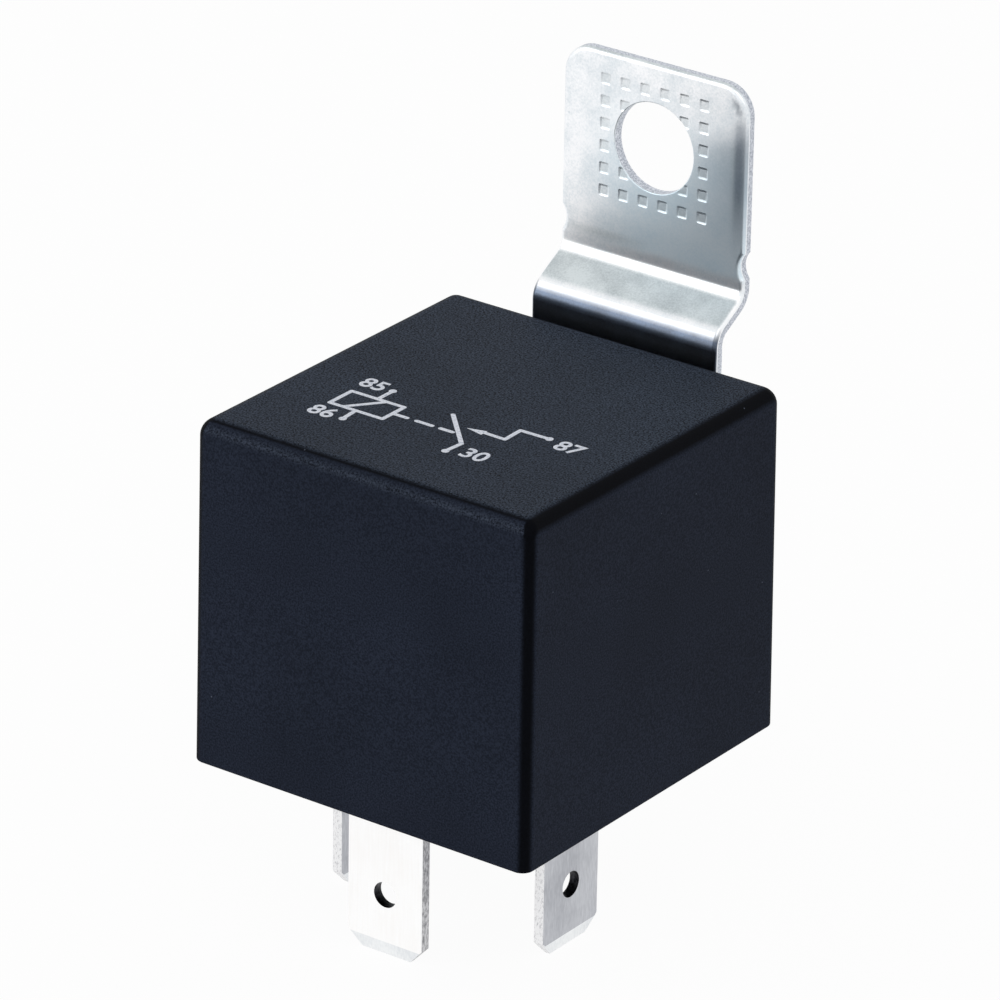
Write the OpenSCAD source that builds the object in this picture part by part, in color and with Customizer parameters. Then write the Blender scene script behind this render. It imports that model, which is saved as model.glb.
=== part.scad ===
// Four-blade cube relay with a steel mounting tab.
// The origin is the middle of the base's seating face, with +Z up and +Y towards the tab.
// The cover is closed, and the switching mechanism inside it is complete.

/* [Cover] */
// Width of the cover at its rim
cover_w = 28.3; // [27.8:0.1:32]
// Depth of the cover at its rim, front to back
cover_d = 29.4; // [28.8:0.1:33]
// Height of the cover
cover_h = 25.5; // [25.2:0.1:30]
// How far each side leans in from the rim to the top
cover_draft = 0.2; // [0.1:0.05:0.4]
// Thickness of the cover's walls and top
cover_wall = 1.2; // [0.9:0.1:1.5]
// Radius of the upright edges
side_edge_r = 0.9; // [0.6:0.1:1.6]
// Radius of the edge round the top
top_edge_r = 1.2; // [0.8:0.1:1.6]

/* [Base] */
// Thickness of the base plate
base_t = 3.2; // [2.8:0.1:3.6]
// Height of the posts that brace the terminals, above the plate
brace_h = 2.6; // [2:0.1:3.4]
// Radius of the snap ribs inside the cover
snap_r = 0.35; // [0.25:0.05:0.45]
// Length of each snap rib
snap_len = 5; // [4:0.5:8]
// Height of the snap ribs above the seating face
snap_z = 1.7; // [1.5:0.1:1.9]

/* [Blades] */
// Width of each blade
blade_w = 6.3; // [5.8:0.1:6.6]
// Thickness of each blade
blade_t = 0.8; // [0.7:0.05:0.9]
// How far the blades stand below the seating face
blade_len = 11.9; // [10:0.1:14]
// Diameter of the detent hole
detent_d = 1.9; // [1.4:0.1:2.2]
// Height of the detent hole above the tip
detent_up = 4.6; // [4:0.1:5.5]
// Width of each chamfered corner at the tip
tip_w = 1.1; // [0.6:0.1:1.6]
// Height of each chamfered corner at the tip
tip_h = 1.2; // [0.6:0.1:2]
// Thickness left at the coined tip
tip_t = 0.4; // [0.3:0.05:0.6]
// Height of the coined bevel at the tip
tip_bevel = 1; // [0.6:0.1:1.6]
// Distance between the two coil blades
coil_pitch = 17.3; // [17:0.1:18]
// Distance from the coil blades' centre line to each contact blade
contact_pitch = 8.7; // [8.6:0.1:9.2]
// Place of the coil blades' centre line, behind the middle of the base
blades_y = -2.2; // [-2.4:0.1:-2]

/* [Mounting bracket] */
// Width of the shank
shank_w = 15.6; // [13:0.1:17]
// Width of the tab
tab_w = 15.4; // [13:0.1:17]
// Thickness of the steel strip
bracket_t = 0.85; // [0.7:0.05:1.2]
// Gap between the strip and the cover's back at the rim
bracket_gap = 0.6; // [0.5:0.05:1]
// Angle of the sloped step, from upright
step_angle = 60; // [50:1:65]
// How far the tab stands behind the shank
step_back = 3.25; // [3:0.05:4]
// Inner radius of the lower bend
low_bend_r = 1.1; // [0.6:0.05:1.3]
// Inner radius of the upper bend
high_bend_r = 1; // [0.6:0.05:1.2]
// How far the shank stands above the top of the cover
shank_rise = 0.5; // [0.2:0.1:3]
// Height of the tab's top above the top of the cover
tab_rise = 18.7; // [16:0.1:24]
// Radius of the tab's top corners
tab_corner_r = 2.2; // [1:0.1:3]
// Diameter of the fixing hole
hole_d = 6.6; // [5:0.1:8]
// Distance from the tab's top to the hole's centre
hole_drop = 6.1; // [5.8:0.1:8]
// Radius of the shallow relief notch on each side of the tab
notch_r = 1.5; // [1:0.1:2]
// Depth of the relief notches
notch_depth = 0.35; // [0.1:0.05:0.6]
// Side of each square dent round the fixing hole
dent_w = 0.85; // [0.6:0.05:1]
// Distance between the dents
dent_pitch = 1.65; // [1.5:0.05:2]
// Depth of the dents
dent_depth = 0.15; // [0.05:0.05:0.3]

/* [Bracket sleeve] */
// Height of the sleeve's foot above the seating face
sleeve_z = 5; // [3:0.5:8]
// Distance from the sleeve's mouth to the top of the cover
sleeve_drop = 5; // [3.5:0.5:8]
// Thickness of the sleeve's walls
sleeve_wall = 1.3; // [1:0.1:1.6]
// Play between the strip and the sleeve on each side
sleeve_play = 0.1; // [0.05:0.05:0.2]
// Width of the snap tongue cut in the shank
tongue_w = 3.2; // [2.4:0.1:4]
// Length of the snap tongue
tongue_len = 4; // [3:0.1:5]
// Angle by which the tongue springs out
tongue_angle = 11; // [6:1:14]

/* [Magnet] */
// Thickness of the yoke
yoke_t = 1.8; // [1.5:0.1:2]
// Width of the yoke
yoke_w = 13; // [11:0.1:14]
// Inner radius of the yoke's bend
yoke_r = 0.6; // [0.4:0.1:0.8]
// Place of the coil's axis, behind the middle of the base
coil_y = -2; // [-2.2:0.1:-1.8]
// Diameter of the core
core_d = 6; // [5:0.1:6.5]
// Diameter of the pole face
pole_d = 9; // [8:0.1:9.6]
// Thickness of the pole face
pole_t = 1; // [0.8:0.1:1.2]
// Diameter of the core's staked end
stake_d = 3.2; // [2.6:0.1:3.8]
// Thickness of the bobbin's flanges
flange_t = 1; // [0.8:0.1:1.2]
// Width of the bobbin's flanges
flange_w = 15.6; // [15.4:0.1:15.8]
// Depth of the bobbin's flanges
flange_d = 15.2; // [15:0.1:15.4]
// Radius that rounds the flanges' corners
flange_r = 10; // [9.6:0.1:10.4]
// Wall of the bobbin's tube
tube_wall = 0.8; // [0.6:0.1:1]
// Height of the winding
winding_h = 10.6; // [10:0.1:11.2]
// Diameter of the winding
winding_d = 14; // [12:0.1:14.4]
// Diameter of the winding's leads
lead_d = 0.5; // [0.3:0.05:0.6]
// Width of the posts that the leads are soldered to
post_w = 2; // [1.6:0.1:2.6]
// Height of those posts above the plate
post_h = 6; // [5.6:0.1:6.6]
// Radius of the solder beads
solder_r = 0.9; // [0.7:0.05:1]

/* [Armature and contacts] */
// Thickness of the armature
armature_t = 1.6; // [1.4:0.1:1.8]
// Width of the armature
armature_w = 11; // [9.5:0.1:11.4]
// Angle of the armature at rest
open_angle = 4; // [3:0.25:4.5]
// Thickness of the contact spring
spring_t = 0.3; // [0.2:0.05:0.35]
// Width of the contact spring on the armature
spring_w = 8; // [7:0.1:9]
// Width of the contact spring at the contact
spring_tip_w = 4.4; // [4:0.1:5]
// Inner radius of the spring's bend
spring_r = 0.6; // [0.5:0.05:0.7]
// Diameter of the contacts
contact_d = 3.4; // [2.8:0.1:3.6]
// Height of the fixed contact
contact_h = 0.6; // [0.5:0.05:0.7]
// How far the contacts stand behind the front blade
contact_back = 2; // [1.9:0.1:2.2]
// Diameter of the rivets
rivet_d = 1.5; // [1.2:0.1:1.8]
// Diameter of the rivets' heads
rivet_head_d = 2.6; // [2.2:0.1:3]
// Height of the rivets' heads
rivet_head_h = 0.5; // [0.3:0.05:0.6]
// Width of the rest stop
stop_w = 2; // [1.6:0.1:2.2]
// Thickness of the rest stop
stop_t = 0.8; // [0.6:0.1:0.9]

/* [Hidden] */
$fn = 64;

// Clearances
seat_gap = 0.05;    // between pieces that close on each other
fit_gap = 0.03;     // round a pin or tube in its hole
moulded_gap = 0.08; // round metal in plastic, and between base and cover
through = 1;        // how far a cut runs past a face

// Base and blades
cavity_half_w = cover_w / 2 - cover_wall;
cavity_half_d = cover_d / 2 - cover_wall;
base_lean = cover_draft * base_t / cover_h;
base_w = 2 * (cavity_half_w - base_lean - moulded_gap);
base_d = 2 * (cavity_half_d - base_lean - moulded_gap);
front_blade_y = blades_y - contact_pitch;
rear_blade_y = blades_y + contact_pitch;
base_corner_r = 0.6;
cavity_edge_r = 0.5;
shoulder_out = 0.7;
shoulder_w = blade_w + 2 * shoulder_out;
shoulder_h = 1.2;
upright_w = 5.4;
brace_w = 4;
coil_brace_t = 1.6;
front_brace_t = 1;
recess_margin = 1.2;
recess_depth = 1;

// Levels of the magnet, from the base up
yoke_floor_z = base_t + yoke_t;
winding_z = yoke_floor_z + flange_t;
upper_flange_z = winding_z + winding_h;
pole_z = upper_flange_z + flange_t + pole_t;
flange_top_z = pole_z - pole_t;
shelf_z = flange_top_z + blade_t;
post_y = blades_y;

// Each lead runs from a tangent point on the winding to its post, in plan
lead_drop = 2;
lead_z = base_t + post_h - lead_drop;
lead_post = [coil_pitch / 2, post_y - post_w / 2];
lead_offset = winding_d / 2 + lead_d / 2 + fit_gap;
lead_reach = norm(lead_post - [0, coil_y]);
lead_start_angle = atan2(lead_post[1] - coil_y, lead_post[0]) - acos(lead_offset / lead_reach);
lead_start = [lead_offset * cos(lead_start_angle), coil_y + lead_offset * sin(lead_start_angle)];
lead_heading = lead_start_angle + 90;
lead_len = norm(lead_post - lead_start) - solder_r / 2;

// Places of the magnet, from front to back
yoke_reach = 4.5;
yoke_front_y = coil_y - yoke_reach;
coil_clear = 0.6;
yoke_inner_y = coil_y + flange_d / 2 + coil_clear;
yoke_back_y = yoke_inner_y + yoke_t;
contact_y = front_blade_y + contact_back;
foot_rivet_x = -3.6;
foot_rivet_clear = 0.5;
foot_rivet_y = rear_blade_y - blade_w / 2 + foot_rivet_clear + rivet_d / 2;
foot_len = 5.6;
fold_r = 0.4;
stake_rim = 0.7;
stake_h = 0.6;

// The armature rocks about its lower rear edge, on the yoke's top
hinge_z = pole_z + seat_gap;
hinge_y = yoke_back_y - spring_r - (armature_t - spring_r) * sin(open_angle) - seat_gap;
front_lip = 0.1;
armature_front_y = coil_y - pole_d / 2 + front_lip;
spring_z = hinge_z + armature_t;
spring_bend_y = yoke_back_y - spring_r;
spring_bend_z = hinge_z + (armature_t - spring_r) / cos(open_angle)
    - (spring_bend_y - hinge_y) * tan(open_angle);
moving_contact_h = spring_z - (shelf_z + contact_h) - seat_gap;
yoke_rivet_drop = 4.6;
yoke_rivet_z = pole_z - yoke_rivet_drop;
spring_foot = 2.4;
spring_foot_z = yoke_rivet_z - spring_foot;
spring_taper = 2;
taper_end = 1.5;
tip_margin = 0.4;
rear_rivet_in = 2.6;
rear_rivet_y = hinge_y - rear_rivet_in;
rivet_spacing = 3.8;
front_rivet_y = rear_rivet_y - rivet_spacing;
contact_bevel = 0.3;
contact_head_h = 0.4;

// Rest stop, over the front of the armature, with its feet over the winding's edge
stop_y = armature_front_y + stop_w / 2 + front_lip;
stop_z = hinge_z + (armature_t + spring_t) / cos(open_angle)
    + (hinge_y - stop_y + stop_w / 2) * tan(open_angle) + seat_gap;
stop_play = 0.5;
stop_edge = 0.2;
stop_half = max(armature_w / 2 + stop_play, winding_d / 2 - stop_edge - stop_t);
stop_r = 0.5;
stop_seat = 0.6;

// Bracket and sleeve
shank_y = cover_d / 2 + bracket_gap;
sleeve_top = cover_h - sleeve_drop;
pocket_y = shank_y - sleeve_play;
pocket_t = bracket_t + 2 * sleeve_play;
pocket_w = shank_w + 2 * sleeve_play;
pocket_z = sleeve_z + sleeve_wall;
sleeve_w = pocket_w + 2 * sleeve_wall;
sleeve_back = pocket_y + pocket_t + sleeve_wall;
sleeve_chamfer = 0.6;
tongue_up = 3.6;
tongue_z = pocket_z + tongue_up;
tongue_r = 0.5;
tongue_slot = 0.4;
tongue_gap = 0.7;
window_margin = 0.6;
notch_z = 1.6;
step_len = (step_back - (1 - cos(step_angle)) * (low_bend_r + bracket_t + high_bend_r))
    / sin(step_angle);
step_h = sin(step_angle) * (low_bend_r + bracket_t + high_bend_r) + cos(step_angle) * step_len;
shank_top = cover_h + shank_rise;
tab_z = shank_top + step_h;
tab_len = cover_h + tab_rise - tab_z;

// ---- Shared shapes ----

// Box with leaning sides, round upright edges and a round top edge; foot runs on below z = 0
module drafted_box(w, d, h, lean, side_r, top_r, foot = 0) {
    grow = lean * foot / h;
    hull()
        for (x = [-1, 1], y = [-1, 1]) {
            translate([x * (w / 2 + grow - side_r), y * (d / 2 + grow - side_r), -foot])
                cylinder(r = side_r, h = 0.01, $fn = 32);
            translate([x * (w / 2 - lean - top_r), y * (d / 2 - lean - top_r), h - top_r])
                sphere(r = top_r, $fn = 32);
        }
}

// Rectangle with round corners, centred
module rounded_plate(w, d, r) {
    square([w - 2 * r, d], center = true);
    square([w, d - 2 * r], center = true);
    for (x = [-1, 1], y = [-1, 1])
        translate([x * (w / 2 - r), y * (d / 2 - r)]) circle(r = r);
}

// Sheet metal is built as a chain: each flat or bend carries what follows it as its child.
// The strip stands on z = 0, centred in x, with its front face on y = 0.
module flat(w, t, len) {
    translate([-w / 2, 0, 0]) cube([w, t, len]);
    translate([0, 0, len]) children();
}

// A bend towards the front for a positive angle, and towards the back for a negative one
module bend(w, t, r, angle) {
    centre = angle > 0 ? -r : t + r;
    translate([0, centre, 0]) mirror([0, angle > 0 ? 0 : 1, 0]) rotate([90, 0, 90])
        rotate_extrude(angle = abs(angle)) translate([r, -w / 2]) square([t, w]);
    translate([0, centre, 0]) rotate([angle, 0, 0]) translate([0, -centre, 0]) children();
}

// Outline in the x-z plane, given a thickness that runs back from y = 0
module plate(t) {
    translate([0, t, 0]) rotate([90, 0, 0]) linear_extrude(t) children();
}

// Blade that points down from z = 0 and goes up through the base
module blade() {
    w = blade_w / 2;
    intersection() {
        plate(blade_t) difference() {
            polygon([
                [w, base_t], [w, tip_h - blade_len], [w - tip_w, -blade_len],
                [tip_w - w, -blade_len], [-w, tip_h - blade_len], [-w, base_t]
            ]);
            translate([0, detent_up - blade_len]) circle(d = detent_d);
        }
        rotate([90, 0, 90]) translate([0, 0, -w - through]) linear_extrude(blade_w + 2 * through)
            polygon([
                [0, base_t], [0, tip_bevel - blade_len], [(blade_t - tip_t) / 2, -blade_len],
                [(blade_t + tip_t) / 2, -blade_len], [blade_t, tip_bevel - blade_len], [blade_t, base_t]
            ]);
    }
}

// Blade whose face looks sideways, on the line x = 0 and centred on y = 0
module side_blade() {
    rotate([0, 0, 90]) translate([0, -blade_t / 2, 0]) {
        blade();
        children();
    }
}

// Slot in the base for a blade across x or y
module blade_slot(angle) {
    rotate([0, 0, angle]) translate([0, 0, base_t / 2])
        cube([blade_w + 2 * moulded_gap, blade_t + 2 * moulded_gap, base_t + 2 * through], center = true);
}

// Rivet along +z from z = 0: its shank ends flush and its head stands on the stack
module rivet(stack) {
    cylinder(d = rivet_d, h = stack);
    translate([0, 0, stack]) cylinder(d1 = rivet_head_d, d2 = rivet_head_d * 0.7, h = rivet_head_h);
}

// Places its children in the armature's closed position, then opens it about the hinge
module opened() {
    translate([0, hinge_y, hinge_z]) rotate([-open_angle, 0, 0]) translate([0, -hinge_y, -hinge_z])
        children();
}

// ---- Housing ----

module sleeve() {
    wall_y = cover_d / 2 - cover_draft - cover_wall / 2;
    difference() {
        translate([0, 0, sleeve_z]) linear_extrude(sleeve_top - sleeve_z) polygon([
            [-sleeve_w / 2, wall_y], [sleeve_w / 2, wall_y],
            [sleeve_w / 2, sleeve_back - sleeve_chamfer], [sleeve_w / 2 - sleeve_chamfer, sleeve_back],
            [sleeve_chamfer - sleeve_w / 2, sleeve_back], [-sleeve_w / 2, sleeve_back - sleeve_chamfer]
        ]);
        translate([-pocket_w / 2, pocket_y, pocket_z]) cube([pocket_w, pocket_t, sleeve_top]);
        translate([-tongue_w / 2 - window_margin, pocket_y + pocket_t / 2, tongue_z])
            cube([tongue_w + 2 * window_margin, sleeve_back, tongue_len + 2 * window_margin]);
    }
}

module cover() {
    color("#24262c") difference() {
        union() {
            difference() {
                drafted_box(cover_w, cover_d, cover_h, cover_draft, side_edge_r, top_edge_r);
                drafted_box(2 * cavity_half_w, 2 * cavity_half_d, cover_h - cover_wall,
                    cover_draft, cavity_edge_r, cavity_edge_r, foot = through);
            }
            sleeve();
            for (x = [-1, 1])
                translate([x * cavity_half_w, snap_len / 2, snap_z]) rotate([90, 0, 0])
                    cylinder(r = snap_r, h = snap_len);
        }
    }
}

// Pocket in the base for the rear blade's foot, deeper under its fold
module foot_pocket() {
    w = blade_w + 2 * moulded_gap;
    fold = blade_t / 2 + fold_r + moulded_gap;
    translate([0, rear_blade_y - w / 2, base_t]) {
        translate([-foot_len - moulded_gap, 0, -blade_t])
            cube([foot_len + blade_t / 2 + 2 * moulded_gap, w, blade_t + through]);
        translate([-fold, 0, -blade_t - fold_r])
            cube([fold + blade_t / 2 + moulded_gap, w, blade_t + fold_r + through]);
    }
}

// Distance from a blade's middle to the middle of the post that braces it
function brace_offset(brace_t) = blade_t / 2 + moulded_gap + brace_t / 2;

module base() {
    color("#1d1f24") difference() {
        union() {
            linear_extrude(base_t) rounded_plate(base_w, base_d, base_corner_r);
            for (x = [-1, 1])
                translate([x * (coil_pitch / 2 + brace_offset(coil_brace_t)), post_y, base_t + brace_h / 2])
                    cube([coil_brace_t, brace_w, brace_h], center = true);
            translate([0, front_blade_y - brace_offset(front_brace_t), base_t + brace_h / 2])
                cube([brace_w, front_brace_t, brace_h], center = true);
        }
        translate([0, front_blade_y, 0]) blade_slot(0);
        translate([0, rear_blade_y, 0]) blade_slot(90);
        for (x = [-1, 1]) {
            translate([x * coil_pitch / 2, blades_y, 0]) blade_slot(90);
            translate([x * base_w / 2, snap_len / 2 + moulded_gap, snap_z]) rotate([90, 0, 0])
                cylinder(r = snap_r + moulded_gap, h = snap_len + 2 * moulded_gap);
        }
        foot_pocket();
        // Recess for the core's staked end
        translate([0, coil_y, base_t - recess_depth])
            cylinder(d = stake_d + 2 * recess_margin, h = recess_depth + through);
    }
}

module bracket_tab() {
    w = tab_w / 2;
    difference() {
        plate(bracket_t) difference() {
            union() {
                translate([-w, 0]) square([tab_w, tab_len - tab_corner_r]);
                translate([tab_corner_r - w, 0]) square([tab_w - 2 * tab_corner_r, tab_len]);
                for (x = [-1, 1])
                    translate([x * (w - tab_corner_r), tab_len - tab_corner_r]) circle(r = tab_corner_r);
            }
            for (x = [-1, 1])
                translate([x * (w + notch_r - notch_depth), notch_z]) circle(r = notch_r);
            translate([0, tab_len - hole_drop]) circle(d = hole_d);
        }
        translate([0, 0, tab_len - hole_drop]) dents();
    }
}

// Six by six square dents in the tab's front face; those in reach of the hole's edge are left out
module dents() {
    clear = hole_d / 2 + dent_w / sqrt(2) + seat_gap;
    places = [for (i = [-2.5:1:2.5]) i * dent_pitch];
    for (x = places, z = places)
        if (norm([x, z]) > clear)
            translate([x, 0, z]) cube([dent_w, 2 * dent_depth, dent_w], center = true);
}

// Upright part in the sleeve, with a snap tongue cut in it that springs out at the back
module bracket_shank() {
    len = shank_top - pocket_z - sleeve_play;
    foot = tongue_z - pocket_z;
    difference() {
        flat(shank_w, bracket_t, len);
        translate([-tongue_w / 2 - tongue_slot, -through, foot])
            cube([tongue_w + 2 * tongue_slot, bracket_t + 2 * through, tongue_len]);
    }
    translate([0, bracket_t, foot + tongue_len]) rotate([180, 0, 0])
        bend(tongue_w, bracket_t, tongue_r, tongue_angle) flat(tongue_w, bracket_t, tongue_len - tongue_gap);
}

module mounting_bracket() {
    color("#c9ced2") translate([0, shank_y, pocket_z + sleeve_play]) {
        bracket_shank();
        translate([0, 0, shank_top - pocket_z - sleeve_play])
            bend(shank_w, bracket_t, low_bend_r, -step_angle)
                flat(tab_w, bracket_t, step_len)
                    bend(tab_w, bracket_t, high_bend_r, step_angle)
                        bracket_tab();
    }
}

// ---- Terminals ----

// Front blade: it rises past the coil and folds back over the bobbin, under the fixed contact
module terminal_87() {
    rise = shelf_z - base_t - shoulder_h - fold_r - blade_t;
    shelf_len = contact_back + contact_d / 2 + front_lip - blade_t / 2 - fold_r;
    color("#dcdcd8") difference() {
        translate([0, front_blade_y - blade_t / 2, 0]) {
            blade();
            translate([0, 0, base_t]) flat(shoulder_w, blade_t, shoulder_h)
                flat(upright_w, blade_t, rise)
                    bend(upright_w, blade_t, fold_r, -90) flat(upright_w, blade_t, shelf_len);
        }
        translate([0, contact_y, shelf_z - blade_t - through])
            cylinder(d = rivet_d + 2 * fit_gap, h = blade_t + 2 * through);
    }
}

// Rear blade: its foot is folded under the yoke and riveted to it
module terminal_30() {
    color("#dcdcd8") difference() {
        translate([0, rear_blade_y, 0]) side_blade_with_foot();
        translate([foot_rivet_x, foot_rivet_y, 0])
            cylinder(d = rivet_d + 2 * fit_gap, h = base_t + through);
    }
}

module side_blade_with_foot() {
    below = blade_t + fold_r;
    difference() {
        side_blade();
        translate([-blade_w, -blade_w, base_t - below]) cube([2 * blade_w, 2 * blade_w, below + through]);
    }
    rotate([0, 0, 90]) translate([0, -blade_t / 2, base_t - below])
        bend(blade_w, blade_t, fold_r, -90) flat(blade_w, blade_t, foot_len - blade_t / 2 - fold_r);
}

// Coil blade: shoulders seat on the base, and a narrow post takes the winding's end
module coil_terminal(side) {
    color("#dcdcd8") translate([side * coil_pitch / 2, blades_y, 0]) side_blade()
        translate([0, 0, base_t]) {
            flat(post_w, blade_t, post_h);
            difference() {
                flat(shoulder_w, blade_t, shoulder_h);
                translate([-post_w / 2, -through, -through])
                    cube([post_w, blade_t + 2 * through, shoulder_h + 2 * through]);
            }
        }
}

module terminal_85() coil_terminal(1);
module terminal_86() coil_terminal(-1);

module terminal_rivet() {
    color("#b9bcbe") translate([foot_rivet_x, foot_rivet_y, base_t - blade_t])
        cylinder(d = rivet_d, h = blade_t + yoke_t);
}

// ---- Magnet ----

module yoke() {
    rise = pole_z - yoke_floor_z - yoke_r;
    color("#aeb3b7") difference() {
        translate([0, yoke_front_y, yoke_floor_z]) rotate([-90, 0, 0])
            flat(yoke_w, yoke_t, yoke_inner_y - yoke_r - yoke_front_y)
                bend(yoke_w, yoke_t, yoke_r, 90) flat(yoke_w, yoke_t, rise);
        translate([0, coil_y, 0]) cylinder(d = stake_d + 2 * fit_gap, h = yoke_floor_z + through);
        translate([foot_rivet_x, foot_rivet_y, 0])
            cylinder(d = rivet_d + 2 * fit_gap, h = yoke_floor_z + through);
        for (x = [-1, 1]) yoke_rivet_hole(x);
    }
}

module yoke_rivet_hole(side) {
    translate([side * spring_w * 0.3, yoke_inner_y - through / 2, yoke_rivet_z]) rotate([-90, 0, 0])
        cylinder(d = rivet_d + 2 * fit_gap, h = yoke_t + spring_t + through);
}

module yoke_rivet(side) {
    color("#b98d4f") translate([side * spring_w * 0.3, yoke_inner_y, yoke_rivet_z]) rotate([-90, 0, 0])
        rivet(yoke_t + spring_t);
}

module core() {
    color("#a3a8ac") translate([0, coil_y, 0]) {
        translate([0, 0, base_t - stake_h]) cylinder(d = stake_d + 2 * stake_rim, h = stake_h);
        translate([0, 0, base_t]) cylinder(d = stake_d, h = yoke_t);
        translate([0, 0, yoke_floor_z]) cylinder(d = core_d, h = pole_z - pole_t - yoke_floor_z);
        translate([0, 0, pole_z - pole_t]) cylinder(d = pole_d, h = pole_t);
    }
}

module flange(z) {
    translate([0, 0, z]) linear_extrude(flange_t) intersection() {
        square([flange_w, flange_d], center = true);
        circle(r = flange_r);
    }
}

module bobbin() {
    color("#e7e4da") difference() {
        translate([0, coil_y, 0]) difference() {
            union() {
                flange(yoke_floor_z);
                flange(upper_flange_z);
                translate([0, 0, yoke_floor_z])
                    cylinder(d = core_d + 2 * tube_wall, h = flange_top_z - yoke_floor_z);
            }
            translate([0, 0, yoke_floor_z - through])
                cylinder(d = core_d + 2 * fit_gap, h = flange_top_z - yoke_floor_z + 2 * through);
        }
        // Sockets for the rest stop's feet
        for (x = [-1, 1])
            translate([x * (stop_half + stop_t / 2), stop_y, flange_top_z])
                cube([stop_t + 2 * moulded_gap, stop_w + 2 * moulded_gap, 2 * stop_seat], center = true);
    }
}

module coil_winding() {
    color("#a3542a") translate([0, coil_y, winding_z]) difference() {
        cylinder(d = winding_d, h = winding_h);
        translate([0, 0, -through])
            cylinder(d = core_d + 2 * tube_wall + 2 * fit_gap, h = winding_h + 2 * through);
    }
}

// The right-hand lead leaves the winding on a tangent and ends in the solder at its post
module lead_wire() {
    translate([lead_start[0], lead_start[1], lead_z]) rotate([0, 90, lead_heading])
        cylinder(d = lead_d, h = lead_len, $fn = 24);
}

module coil_lead(side) {
    color("#b0602c") mirror([side > 0 ? 0 : 1, 0, 0]) lead_wire();
}

// Bead on the post's front edge, round the lead's end
module solder(side) {
    color("#c4c8ca") mirror([side > 0 ? 0 : 1, 0, 0]) difference() {
        translate([lead_post[0], lead_post[1], lead_z]) rotate_extrude() polygon([
            [0, -solder_r], [solder_r / 2, -solder_r], [solder_r, -solder_r / 2],
            [solder_r, solder_r / 2], [solder_r / 2, solder_r], [0, solder_r]
        ]);
        translate([lead_post[0], post_y, lead_z]) cube([blade_t, post_w, 4 * solder_r], center = true);
        lead_wire();
    }
}

// ---- Armature and contacts ----

module armature() {
    color("#b4b9bc") opened() difference() {
        translate([-armature_w / 2, armature_front_y, hinge_z])
            cube([armature_w, hinge_y - armature_front_y, armature_t]);
        for (y = [front_rivet_y, rear_rivet_y])
            translate([0, y, hinge_z - through]) cylinder(d = rivet_d + 2 * fit_gap, h = armature_t + 2 * through);
    }
}

// Distance along the spring from the end of its bend to a place over the closed armature
function ahead(y) = hinge_y + seat_gap / cos(open_angle) - y;

// Outline of the spring's front part, which narrows ahead of the armature
module spring_front() {
    w = spring_w / 2;
    end_w = spring_tip_w / 2;
    narrow = ahead(armature_front_y + taper_end);
    wide = narrow - spring_taper;
    tip = ahead(contact_y - contact_d / 2 - tip_margin);
    difference() {
        polygon([
            [-w, 0], [-w, wide], [-end_w, narrow], [-end_w, tip],
            [end_w, tip], [end_w, narrow], [w, wide], [w, 0]
        ]);
        for (y = [front_rivet_y, rear_rivet_y, contact_y])
            translate([0, ahead(y)]) circle(d = rivet_d + 2 * fit_gap);
    }
}

module contact_spring() {
    color("#c08a4a") difference() {
        translate([0, yoke_back_y, spring_foot_z])
            flat(spring_w, spring_t, spring_bend_z - spring_foot_z)
                bend(spring_w, spring_t, spring_r, 90 - open_angle) plate(spring_t) spring_front();
        for (x = [-1, 1]) yoke_rivet_hole(x);
    }
}

module moving_contact() {
    color("#d9d9d4") opened() translate([0, contact_y, 0]) {
        translate([0, 0, spring_z - moving_contact_h])
            cylinder(d1 = contact_d - 2 * contact_bevel, d2 = contact_d, h = contact_bevel);
        translate([0, 0, spring_z - moving_contact_h + contact_bevel])
            cylinder(d = contact_d, h = moving_contact_h - contact_bevel);
        translate([0, 0, spring_z]) cylinder(d = rivet_d, h = spring_t);
        translate([0, 0, spring_z + spring_t]) cylinder(d = rivet_head_d, h = contact_head_h);
    }
}

module fixed_contact() {
    color("#d9d9d4") translate([0, contact_y, 0]) {
        translate([0, 0, shelf_z - blade_t]) cylinder(d = rivet_d, h = blade_t);
        translate([0, 0, shelf_z]) cylinder(d = contact_d, h = contact_h - contact_bevel);
        translate([0, 0, shelf_z + contact_h - contact_bevel])
            cylinder(d1 = contact_d, d2 = contact_d - 2 * contact_bevel, h = contact_bevel);
    }
}

// Arch of strip over the armature, with its feet in the bobbin's upper flange
module rest_stop() {
    rise = stop_z - stop_r - (flange_top_z - stop_seat);
    span = 2 * (stop_half - stop_r);
    color("#b4b9bc") translate([stop_half, stop_y, flange_top_z - stop_seat]) rotate([0, 0, -90])
        flat(stop_w, stop_t, rise) bend(stop_w, stop_t, stop_r, 90) flat(stop_w, stop_t, span)
            bend(stop_w, stop_t, stop_r, 90) flat(stop_w, stop_t, rise);
}

module armature_rivet(y) {
    color("#b98d4f") opened() translate([0, y, hinge_z]) rivet(armature_t + spring_t);
}

cover();
base();
mounting_bracket();
terminal_30();
terminal_85();
terminal_86();
terminal_87();
terminal_rivet();
yoke();
core();
bobbin();
coil_winding();
coil_lead(1);  // coil_lead_85
coil_lead(-1);  // coil_lead_86
solder(1);  // solder_85
solder(-1);  // solder_86
armature();
contact_spring();
moving_contact();
fixed_contact();
rest_stop();
yoke_rivet(-1);  // yoke_rivet_left
yoke_rivet(1);  // yoke_rivet_right
armature_rivet(front_rivet_y);  // armature_rivet_front
armature_rivet(rear_rivet_y);  // armature_rivet_rear
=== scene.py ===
# Four-blade cube relay with a steel mounting tab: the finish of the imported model.
# Sizes are in millimetres and angles in degrees until the last step of each piece.
import math

import bmesh
import bpy
import numpy as np
from mathutils import Matrix, Vector
from mathutils.geometry import delaunay_2d_cdt


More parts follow.
